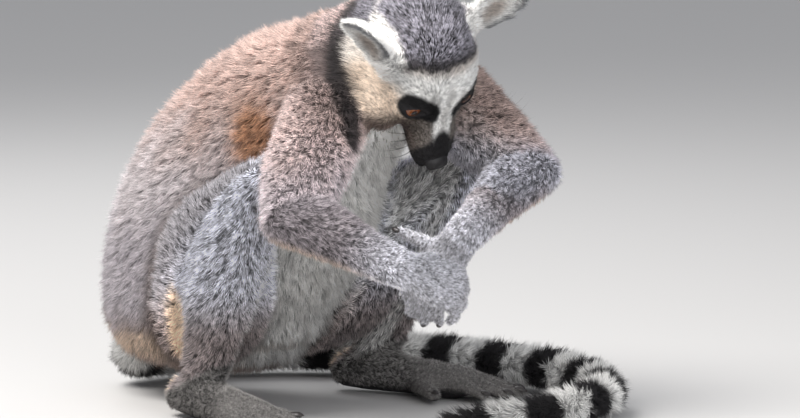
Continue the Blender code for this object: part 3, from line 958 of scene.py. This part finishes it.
which = pieceOfPoint()
mesh = skin.data
firstCorner = np.empty(len(mesh.polygons), np.int32)
mesh.polygons.foreach_get("loop_start", firstCorner)
cornerPoint = np.empty(len(mesh.loops), np.int32)
mesh.loops.foreach_get("vertex_index", cornerPoint)
ofFace = cornerPoint[firstCorner]
addValues(mesh, "piece", "INT", "value", which[ofFace], "FACE")
area = np.empty(len(mesh.polygons), np.float32)
mesh.polygons.foreach_get("area", area)
for i, name in enumerate(pieceNames):
    chosen = which[ofFace] == i
    print(name, round(float((area * dense[ofFace])[chosen].sum() * 1e6)), "tufts")


furSpeckle = {
    "fine": 640,  # scale of the clumps, then of the broad patches
    "broad": 95,
    "tuft": 2.3,  # how far each of these swings the shade
    "clump": 3.0,
    "band": 0.9,
    "patches": 0.45,
    "plain": 0.3,
    "least": 0.12,
}


# Colour of hair from its base colour, its place along the strand and a speckle.
def furGroup():
    tree = bpy.data.node_groups.new("fur shade", "ShaderNodeTree")
    addInputs(tree, (
        ("Colour", "NodeSocketColor", (0.5, 0.5, 0.5, 1)),
        ("Along", "NodeSocketFloat", 0.5),
        ("Shade", "NodeSocketFloat", 0.5),
        ("Speckle", "NodeSocketFloat", 0.5),
        ("Root", "NodeSocketFloat", 0.45),
        ("Place", "NodeSocketVector", None),
    ))
    tree.interface.new_socket(name="Colour", in_out="OUTPUT", socket_type="NodeSocketColor")
    add, number = nodeCalls(tree)
    came, look = add("NodeGroupInput").outputs, furSpeckle
    fine = add("ShaderNodeTexNoise", {"Scale": look["fine"], "Detail": 2, "Vector": came["Place"]})
    broad = add("ShaderNodeTexNoise", {"Scale": look["broad"], "Detail": 3, "Vector": came["Place"]})
    own = number("SUBTRACT", came["Shade"], 0.5)
    clump = number("SUBTRACT", fine.outputs["Fac"], 0.5)
    patches = number("SUBTRACT", broad.outputs["Fac"], 0.5)
    band = number("SUBTRACT", number("MINIMUM", number("MULTIPLY", came["Along"], 1.6), 1.0), 0.45)
    swing = number("ADD", number("MULTIPLY", own, look["tuft"]), number("MULTIPLY", clump, look["clump"]))
    swing = number("ADD", swing, number("MULTIPLY", band, look["band"]))
    swing = number("MULTIPLY", swing, came["Speckle"])
    swing = number("ADD", swing, number("MULTIPLY", patches, look["patches"]))
    swing = number("ADD", swing, number("MULTIPLY", own, look["plain"]))
    level = number("MAXIMUM", number("ADD", swing, 1.0), look["least"])
    rise = number("MINIMUM", number("MULTIPLY", came["Along"], 1.7), 1.0)
    rise = number("MULTIPLY", rise, number("SUBTRACT", 1.0, came["Root"]))
    level = number("MULTIPLY", level, number("ADD", rise, came["Root"]))
    scaled = add("ShaderNodeVectorMath", {0: came["Colour"], "Scale": level}, operation="SCALE")
    add("NodeGroupOutput", {"Colour": scaled.outputs[0]})
    return tree


furShade = furGroup()


def furMaterial(name, rough, sheen, root, hair=True):
    looks = {"Roughness": rough, "Specular IOR Level": 0.25, "Sheen Weight": sheen, "Sheen Roughness": 0.5}
    material, shader, add = newMaterial(name, looks)
    group = add("ShaderNodeGroup", node_tree=furShade)
    fill(group, {"Root": root, "Place": add("ShaderNodeTexCoord").outputs["Object"]})
    reads = {"Colour": ("coatColour", "Color"), "Speckle": ("speckle", "Fac")}
    reads["Along"] = ("along" if hair else "ground", "Fac")
    if hair:
        reads["Shade"] = ("shade", "Fac")
    for socket, (attribute, out) in reads.items():
        fill(group, {socket: add("ShaderNodeAttribute", attribute_name=attribute).outputs[out]})
    fill(shader, {"Base Color": group.outputs["Colour"]})
    return material, shader, add


coatFinish = {  # roughness, sheen, how dark the roots are
    "back_coat": (0.80, 0.12, 0.34),
    "limb_coat": (0.80, 0.10, 0.36),
    "neck_coat": (0.80, 0.06, 0.40),
    "face_coat": (0.78, 0.08, 0.55),
    "tail_dark": (0.70, 0.03, 0.50),
    "tail_light": (0.80, 0.08, 0.50),
}
coatMaterials = {}
for slot, finish in coatFinish.items():
    coatMaterials[slot] = furMaterial(slot.replace("_", " "), *finish)[0]

skinMaterial, shader, add = furMaterial("short fur and skin", 0.82, 0.0, 0.30, hair=False)
relief(add, shader, "ShaderNodeTexNoise", "Fac", 900, 0.5, 0.0005).inputs["Detail"].default_value = 3
skin.data.materials.clear()
skin.data.materials.append(skinMaterial)
smoothed(skin.data)


tuft = {"strands": 3, "spread": 0.34, "lean": 0.75, "thick": 0.20, "kinds": 4}


# A few tufts, each of three thin strands one unit long.
def makeTufts():
    group = bpy.data.collections.new("tufts")
    bpy.context.scene.collection.children.link(group)
    for number in range(tuft["kinds"]):
        rng = np.random.default_rng(40 + number)
        verts, faces, along, patch = [], [], [], []
        for strand in range(tuft["strands"]):
            turn = math.tau * strand / tuft["strands"] + rng.uniform(-0.5, 0.5)
            foot = np.array([math.cos(turn), math.sin(turn)]) * tuft["spread"] * rng.uniform(0.5, 1.3)
            turn += rng.uniform(-0.9, 0.9)
            tip = foot + np.array([math.cos(turn), math.sin(turn)]) * tuft["lean"] * rng.uniform(0.2, 1.2)
            tall = rng.uniform(0.72, 1.0)
            first = len(verts)
            for k in range(3):
                a = math.tau * k / 3 + rng.uniform(0, 1)
                x, y = foot + tuft["thick"] * np.array([math.cos(a), math.sin(a)])
                verts.append((x, y, -0.05))
                along.append(0.0)
            verts.append((tip[0], tip[1], tall))
            along.append(1.0)
            for k in range(3):
                faces.append((first + k, first + (k + 1) % 3, first + 3))
                u = (strand + k / 3) / tuft["strands"]
                patch += [(u, 0.0), (u + 0.11, 0.0), (u + 0.05, 1.0)]
        mesh = bpy.data.meshes.new(f"tuft{number}")
        mesh.from_pydata(verts, [], faces)
        addFloat(mesh, "along", along)
        addValues(mesh, "patch", "FLOAT2", "vector", patch, "CORNER")
        smoothed(mesh)
        group.objects.link(bpy.data.objects.new(mesh.name, mesh))
    return group


coatWay = {"sway": 55, "drift": 0.65, "wide": (0.8, 1.2), "long": (0.72, 1.18)}


def coatTree():
    tree = bpy.data.node_groups.new("coat", "GeometryNodeTree")
    addInputs(tree, (
        ("Geometry", "NodeSocketGeometry", None),
        ("Piece", "NodeSocketInt", 0),
        ("Density", "NodeSocketFloat", 1.0),
        ("Seed", "NodeSocketInt", 1),
        ("Scatter", "NodeSocketFloat", 0.2),
        ("Clump", "NodeSocketFloat", 0.3),
        ("Clump Size", "NodeSocketFloat", 0.005),
        ("Patch", "NodeSocketFloat", 0.003),
        ("Tufts", "NodeSocketCollection", None),
        ("Material", "NodeSocketMaterial", None),
    ))
    tree.interface.new_socket(name="Geometry", in_out="OUTPUT", socket_type="NodeSocketGeometry")
    add, number = nodeCalls(tree)

    def read(name, form="FLOAT"):
        return add("GeometryNodeInputNamedAttribute", {"Name": name}, data_type=form).outputs["Attribute"]

    def vector(operation, a, b):
        second = "Scale" if operation == "SCALE" else 1
        return add("ShaderNodeVectorMath", {0: a, second: b}, operation=operation).outputs[0]

    def chance(form, low, high, seed):
        node = add("FunctionNodeRandomValue", {"Seed": seed}, data_type=form)
        ends = [s for s in node.inputs if s.enabled and s.name in ("Min", "Max")]
        ends[0].default_value, ends[1].default_value = low, high
        return next(s for s in node.outputs if s.enabled)

    came = add("NodeGroupInput").outputs
    mine = add("FunctionNodeCompare", data_type="INT", operation="EQUAL")
    for socket, value in zip((s for s in mine.inputs if s.enabled), (read("piece", "INT"), came["Piece"])):
        tree.links.new(value, socket)
    roots = add("GeometryNodeDistributePointsOnFaces", {
        "Mesh": came["Geometry"], "Selection": mine.outputs[0], "Seed": came["Seed"],
        "Density": number("MULTIPLY", read("density"), came["Density"]),
    })

    # The strand follows the lie of the coat, scatters a little and leans into its clump.
    place = add("GeometryNodeInputPosition").outputs[0]
    scale = number("DIVIDE", 1.0, came["Clump Size"])
    cell = add("ShaderNodeTexVoronoi", {"Vector": place, "Scale": scale}, feature="F1")
    pull = vector("SUBTRACT", cell.outputs["Position"], place)
    pull = vector("SCALE", pull, number("DIVIDE", came["Clump"], came["Clump Size"]))
    sway = add("ShaderNodeTexNoise", {"Scale": coatWay["sway"], "Detail": 1, "Vector": place})
    drift = vector("SCALE", vector("SUBTRACT", sway.outputs["Color"], (0.5, 0.5, 0.5)), coatWay["drift"])
    loose = vector("SCALE", chance("FLOAT_VECTOR", (-1, -1, -1), (1, 1, 1), 3), came["Scatter"])
    way = vector("ADD", vector("ADD", read("lie", "FLOAT_VECTOR"), loose), vector("ADD", pull, drift))
    stand = add("FunctionNodeAlignRotationToVector", {"Vector": way}, axis="Z").outputs[0]
    turned = {"Axis": (0, 0, 1), "Angle": chance("FLOAT", 0.0, math.tau, 5)}
    spin = add("FunctionNodeAxisAngleToRotation", turned).outputs[0]
    turn = add("FunctionNodeRotateRotation", {"Rotation": stand, "Rotate By": spin}, rotation_space="LOCAL")
    wide = number("MULTIPLY", read("tuftWidth"), chance("FLOAT", *coatWay["wide"], 7))
    long = number("MULTIPLY", read("tuftLength"), chance("FLOAT", *coatWay["long"], 9))
    size = add("ShaderNodeCombineXYZ", {"X": wide, "Y": wide, "Z": long})
    source = add("GeometryNodeCollectionInfo", {
        "Collection": came["Tufts"], "Separate Children": True, "Reset Children": True,
    }, transform_space="ORIGINAL")
    grow = add("GeometryNodeInstanceOnPoints", {
        "Points": roots.outputs["Points"], "Instance": source.outputs[0], "Pick Instance": True,
        "Instance Index": chance("INT", 0, tuft["kinds"] - 1, 11),
        "Rotation": turn.outputs[0], "Scale": size.outputs[0],
    })
    tint = add("GeometryNodeStoreNamedAttribute", data_type="FLOAT", domain="INSTANCE")
    fill(tint, {"Name": "shade", "Geometry": grow.outputs[0], "Value": chance("FLOAT", 0.0, 1.0, 13)})
    real = add("GeometryNodeRealizeInstances", {"Geometry": tint.outputs[0]})

    # Each tuft is a small patch at its root's place on the unwrapped skin.
    corner = vector("SUBTRACT", read("patch", "FLOAT_VECTOR"), (0.5, 0.5, 0.0))
    corner = vector("ADD", read("OFBake", "FLOAT_VECTOR"), vector("SCALE", corner, came["Patch"]))
    chart = add("GeometryNodeStoreNamedAttribute", data_type="FLOAT2", domain="CORNER")
    fill(chart, {"Name": "OFBake", "Geometry": real.outputs[0], "Value": corner})
    last = chart.outputs[0]
    for name in ("patch", "lie", "density", "tuftWidth", "tuftLength", "piece", "ground"):
        last = add("GeometryNodeRemoveAttribute", {"Name": name, "Geometry": last}).outputs[0]
    dress = add("GeometryNodeSetMaterial", {"Geometry": last, "Material": came["Material"]})
    add("NodeGroupOutput", {0: dress.outputs[0]})
    return tree


tufts = makeTufts()
tree = coatTree()
coatSettings = {  # scatter, clump, clump size in metres
    "face_coat": (0.16, 0.10, 0.004),
    "neck_coat": (0.24, 0.45, 0.005),
    "back_coat": (0.26, 0.60, 0.0055),
    "limb_coat": (0.24, 0.42, 0.0045),
    "tail_dark": (0.26, 0.45, 0.006),
    "tail_light": (0.26, 0.45, 0.006),
}


def growCoat(name, slot, full, index):
    obj = link(name, skin.data)
    modifier = obj.modifiers.new("coat", "NODES")
    modifier.node_group = tree
    scatter, clump, clumpSize = coatSettings[slot]
    wanted = {
        "Piece": index, "Density": full, "Seed": 100 + index, "Scatter": scatter, "Clump": clump,
        "Clump Size": clumpSize, "Patch": 0.003, "Tufts": tufts, "Material": coatMaterials[slot],
    }
    for item in tree.interface.items_tree:
        if item.in_out == "INPUT" and item.name in wanted:
            modifier[item.identifier] = wanted[item.name]
    baked(obj, name)
    print(name, triangleCount(obj), "triangles")
    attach(obj, "root")
    return obj


coat = [growCoat(name, slot, full, i) for i, (name, (slot, full)) in enumerate(coatPieces.items())]
for obj in list(tufts.objects):
    bpy.data.objects.remove(obj, do_unlink=True)
bpy.data.collections.remove(tufts)
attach(skin, "root")
flesh = [n for n in nodes if not n.startswith(("eye", "nose"))]
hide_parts(*flesh)
print("coat:", sum(len(o.data.loop_triangles) for o in coat), "triangles")


iris = {"radius": 5.6, "pupil": 1.5, "reach": 8.4, "down": 3, "bulge": 0.5}


def makeEye(side):
    e = eyes[side]
    down = math.radians(iris["down"])
    gaze = e["look"] * math.cos(down) - e["lift"] * math.sin(down)
    across = unit(np.cross(e["lift"], gaze))
    upward = unit(np.cross(gaze, across))
    bm = bmesh.new()
    bmesh.ops.create_uvsphere(bm, u_segments=64, v_segments=48, radius=1)
    seen = []
    for v in bm.verts:
        x, y, z = v.co
        r = math.hypot(x, y) * e["radius"]
        cornea = iris["bulge"] * max(0.0, 1 - (r / iris["radius"]) ** 2) if z > 0 else 0.0
        p = e["centre"] + (across * x + upward * y + gaze * z) * (e["radius"] - 0.02 + cornea)
        seen.append((x * e["radius"], y * e["radius"], z * e["radius"]))
        v.co = Vector(p * mm)
    bmesh.ops.recalc_face_normals(bm, faces=bm.faces)
    mesh = meshOf(bm, "eyeball_" + side)
    addVector(mesh, "gaze", seen)
    asPiece("eyeball_" + side, mesh, eyeMaterial, "eyeball", "eye_" + side)


# Pupil, amber iris with streaks and dark edge, by the distance from the middle of the gaze.
def makeEyeMaterial():
    looks = {"Roughness": 0.12, "Coat Weight": 1.0, "Coat Roughness": 0.02}
    material, shader, add = newMaterial("amber eye", looks)
    gaze = add("ShaderNodeAttribute", attribute_name="gaze").outputs["Vector"]
    flat = add("ShaderNodeVectorMath", {0: gaze, 1: (1, 1, 0)}, operation="MULTIPLY").outputs[0]
    far = add("ShaderNodeVectorMath", {0: flat}, operation="LENGTH").outputs["Value"]
    grain = add("ShaderNodeTexNoise", {"Scale": 1.6, "Detail": 4, "Vector": gaze})
    step = add("ShaderNodeMapRange", {"From Max": iris["reach"], "Value": far})
    band = add("ShaderNodeValToRGB", {"Fac": step.outputs["Result"]})
    stops = band.color_ramp.elements
    r, pupil = iris["radius"] / iris["reach"], iris["pupil"] / iris["reach"]
    stops[0].position, stops[0].color = pupil * 0.97, (0.002, 0.001, 0.001, 1)
    stops[1].position, stops[1].color = 1.0, (0.012, 0.006, 0.004, 1)
    for where, shade in (
        (pupil * 1.08, (0.10, 0.022, 0.004)),
        (pupil * 1.6, (0.26, 0.072, 0.010)),
        (r * 0.82, (0.21, 0.045, 0.006)),
        (r * 0.97, (0.08, 0.016, 0.003)),
        (r * 1.03, (0.012, 0.006, 0.004)),
    ):
        stops.new(where).color = (*shade, 1)
    mix = add("ShaderNodeMix", data_type="RGBA", blend_type="MULTIPLY")
    fill(mix, {"Factor": 0.5, "A": band.outputs["Color"], "B": grain.outputs["Fac"]})
    fill(shader, {"Base Color": mix.outputs["Result"]})
    return material


eyeMaterial = makeEyeMaterial()
for side in sides:
    makeEye(side)


def leatherMaterial(name, shade, rough, scale, strength):
    material, shader, add = newMaterial(name, {"Base Color": (*shade, 1), "Roughness": rough})
    relief(add, shader, "ShaderNodeTexVoronoi", "Distance", scale, strength, 0.0002)
    return material


noseLeather = leatherMaterial("nose leather", (0.008, 0.007, 0.008), 0.58, 1500, 0.6)
nailHorn = leatherMaterial("nail horn", (0.035, 0.030, 0.030), 0.35, 300, 0.1)
whiskerHair = leatherMaterial("whisker", (0.03, 0.027, 0.025), 0.4, 300, 0.0)


nose = {"radii": (5.4, 7.0, 5.4), "nostril": (3.2, 0.5), "wingTip": (6.6, -1.1), "deep": 2.6, "groove": 0.8}


# How deep the comma of one nostril is, and the soft wing round it.
def nostrilWell(y, z):
    a, b = np.array(nose["nostril"]), np.array(nose["wingTip"])
    u = float(np.clip((np.array([y, z]) - a) @ (b - a) / (b - a).dot(b - a), 0, 1))
    away = math.hypot(*(np.array([y, z]) - a - (b - a) * u))
    half = 1.30 - 0.85 * u
    well = nose["deep"] * (1 - 0.45 * u) * math.exp(-((away / half) ** 2) * 1.3)
    return well, 0.40 * math.exp(-(((away - 1.9 * half) / 0.8) ** 2))


# A broad pad with a flat front, two comma nostrils and a groove below.
def makeNose():
    bm = bmesh.new()
    bmesh.ops.create_uvsphere(bm, u_segments=120, v_segments=84, radius=1)
    for v in bm.verts:
        y, z, x = v.co  # the sphere's poles lie fore and aft
        way = np.array([x, y, z])
        p = np.array([x, math.copysign(abs(y) ** 0.88, y), math.copysign(abs(z) ** 0.92, z)])
        p = p * nose["radii"]
        p[1] *= 1 - 0.34 * float(ramp(0.3, -1.0, z))
        p[2] += 0.35 * math.exp(-((y / 0.55) ** 2)) * z
        if x > 0:
            p[0] *= 1 - 0.16 * x * x
            well, wing = nostrilWell(abs(p[1]), p[2])
            p -= way * (well - wing) * float(ramp(0.02, 0.25, x))
            p[0] -= nose["groove"] * math.exp(-((p[1] / 0.5) ** 2)) * float(ramp(0.45, -0.1, z)) * x
        v.co = Vector((onHead(*nosePlace) + p @ headAxes) * mm)
    bmesh.ops.recalc_face_normals(bm, faces=bm.faces)
    asPiece("nose_pad", meshOf(bm, "nose_pad"), noseLeather, "nose_leather", "nose")


makeNose()

digits = {
    "fingers": ((-1.0, 27, 3.3), (-0.35, 32, 3.5), (0.35, 34, 3.5), (1.0, 27, 3.2)),
    "toes": ((-1.0, 22, 4.0), (-0.36, 29, 4.3), (0.30, 31, 4.4), (0.95, 27, 4.2)),
    "curl": {"right": (0.4, 0.8, 0.7), "left": (0.35, 0.6, 0.5)},
    "thumb": {"right": (0.75, 0.35, 0.6), "left": (0.25, 0.9, 0.2)},
}


# Where each finger ends, which way it points and which way its back faces.
def fingerTips(side, s):
    along, back = palmWay[side], palmBack[side]
    back = unit(back - along * back.dot(along))
    wide = np.cross(back, along) * s
    tips = []
    for spot, size, r in digits["fingers"]:
        p = wrist[side] + along * (31 - abs(spot) * 3) + wide * (spot * 10.2)
        d = unit(along + wide * (spot * 0.10))
        for share, bend in zip((0.40, 0.33, 0.27), digits["curl"][side]):
            d = unit(d * math.cos(bend) - back * math.sin(bend))
            p = p + d * (size * share)
        tips.append((p, d, unit(back - d * back.dot(d)), r))
    a, w, b = digits["thumb"][side]
    d = unit(along * a + wide * w - back * b)
    p = wrist[side] + along * 11 + wide * 9 + d * 24
    tips.append((p, d, unit(back - d * back.dot(d)), 3.2))
    return tips


def toeTips(s):
    ball, f = at(-34, 84 * s, 9), unit(0.966, 0.26 * s, 0)
    out = np.array([-0.26, 0.966 * s, 0])
    tips = []
    for spot, size, r in digits["toes"]:
        q = ball + f * (7 - abs(spot) * 3) + out * (spot * 11.5)
        d = unit(f + out * (spot * 0.20))
        d = unit(d * size - np.array([0, 0, 4.5]))
        tips.append((q + d * size, d, np.array([0, 0, 1.0]), r))
    q, d = ball - f * 20 - out * 9, unit(f * 0.72 - out * 0.69)
    tips.append((q + d * 29 - np.array([0, 0, 4]), d, np.array([0, 0, 1.0]), 4.4))
    return tips


whiskers = {"rows": 3, "each": 4, "long": (14, 25), "thick": 0.09, "sides": 4, "steps": 8}


# Thin bristles on each side of the muzzle, swept out and back.
def makeWhiskers():
    rng = np.random.default_rng(77)
    tree = BVHTree.FromObject(skin, bpy.context.evaluated_depsgraph_get())
    verts, faces = [], []
    m, steps = whiskers["sides"], whiskers["steps"]
    for s in (-1, 1):
        for row in range(whiskers["rows"]):
            for n in range(whiskers["each"]):
                inside = onHead(60 - 3.2 * n, 0, -31 - 2.3 * row)
                out = unit(np.array([-0.05, s, -0.10 - 0.08 * row]) @ headAxes)
                root = tree.ray_cast(Vector(inside * mm), Vector(out))[0]
                if root is None:
                    continue
                p, way = np.array(root) / mm, unit(out + headAxes[0] * (0.35 - 0.15 * n))
                size = rng.uniform(*whiskers["long"])
                bend = -headAxes[0] * rng.uniform(0.06, 0.12) + rng.normal(size=3) * 0.02
                first = len(verts)
                for k in range(steps + 1):
                    side = unit(np.cross(way, headAxes[2]))
                    up = np.cross(side, way)
                    r = whiskers["thick"] * (1.02 - k / steps)
                    for c in range(m):
                        turn = math.tau * c / m
                        verts.append((p + (side * math.cos(turn) + up * math.sin(turn)) * r) * mm)
                    p, way = p + way * (size / steps), unit(way + bend)
                for k in range(steps):
                    for c in range(m):
                        a, b = first + k * m + c, first + k * m + (c + 1) % m
                        faces.append((a, b, b + m, a + m))
                faces.append(tuple(first + c for c in reversed(range(m))))
                faces.append(tuple(first + steps * m + c for c in range(m)))
    mesh = bpy.data.meshes.new("whiskers")
    mesh.from_pydata([tuple(v) for v in verts], [], faces)
    asPiece("whiskers", mesh, whiskerHair, "nose_leather")


makeWhiskers()


# A flat nail lies on the back of each digit's end.
def makeNails(name, tips):
    whole = bmesh.new()
    for tip, d, back, r in tips:
        back = unit(back - d * back.dot(d))
        side = np.cross(back, d)
        part = bmesh.new()
        bmesh.ops.create_uvsphere(part, u_segments=16, v_segments=10, radius=1)
        centre = tip + d * (r * 0.20) + back * (r * 0.72)
        for v in part.verts:
            x, y, z = v.co
            sag = 0.30 * y * y + 0.30 * x * x * (x > 0)
            p = centre + d * (x * r * 0.90) + side * (y * r * 0.52) + back * (z * r * 0.20 - sag * r)
            v.co = Vector(p * mm)
        gather(whole, part)
    bmesh.ops.recalc_face_normals(whole, faces=whole.faces)
    asPiece(name, meshOf(whole, name), nailHorn, "nose_leather")


for side, s in sides.items():
    makeNails("finger_nails_" + side, fingerTips(side, -s))
    makeNails("toe_nails_" + side, toeTips(s))
print("eyes, nose and nails")


# The grown coat hides most of the skin, so its mesh is thinned at the end.
fewer = skin.modifiers.new("fewer faces", "DECIMATE")
fewer.ratio = skinLook["triangles"] / triangleCount(skin)
baked(skin, "skin")
print("skin:", triangleCount(skin), "triangles")

studio = {"key": 39, "fill": 15, "rim": 8, "sky": 0.50, "floor": (0.62, 0.61, 0.60), "far": 2.4}


def areaLight(name, place, aim, size, power, shade=(1, 1, 1)):
    data = bpy.data.lights.new(name, "AREA")
    data.shape, data.size, data.energy, data.color = "DISK", size, power, shade
    obj = bpy.data.objects.new(name, data)
    bpy.context.scene.collection.objects.link(obj)
    obj.location = place
    obj.rotation_euler = (Vector(aim) - Vector(place)).to_track_quat("-Z", "Y").to_euler()


mesh = bpy.data.meshes.new("floor")
mesh.from_pydata([(-8, -8, 0), (8, -8, 0), (8, 8, 0), (-8, 8, 0)], [], [(0, 1, 2, 3)])
floor = link("floor", mesh)
paint = newMaterial("floor paint", {"Base Color": (*studio["floor"], 1), "Roughness": 0.9})[0]
mesh.materials.append(paint)
floor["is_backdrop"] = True

middle = (0.0, 0.0, 0.12)
areaLight("key", (-0.10, -1.10, 1.50), middle, 1.1, studio["key"], (1.0, 0.98, 0.95))
areaLight("fill", (1.6, -0.75, 0.45), middle, 1.2, studio["fill"], (0.97, 0.98, 1.0))
areaLight("rim", (-1.2, 0.5, 1.3), middle, 0.9, studio["rim"])
world = bpy.data.worlds.new("sky")
bpy.context.scene.world = world
world.use_nodes = True
fill(world.node_tree.nodes["Background"], {"Color": (0.93, 0.95, 1.0, 1), "Strength": studio["sky"]})
bpy.context.scene.view_settings.view_transform = "Standard"

lens = bpy.data.cameras.new("camera")
lens.lens, lens.sensor_width = 200, 36
lens.clip_end = 50
camera = bpy.data.objects.new("camera", lens)
bpy.context.scene.collection.objects.link(camera)
turn = Matrix(viewAxes.tolist()).transposed().to_4x4()
aim = Vector((0.06235, -0.01676, 0.116))
camera.matrix_world = Matrix.Translation(aim + Vector(viewAxes[2]) * studio["far"]) @ turn
bpy.context.scene.camera = camera

low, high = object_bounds()
print("size mm", [round((b - a) * 1000, 1) for a, b in zip(low, high)])
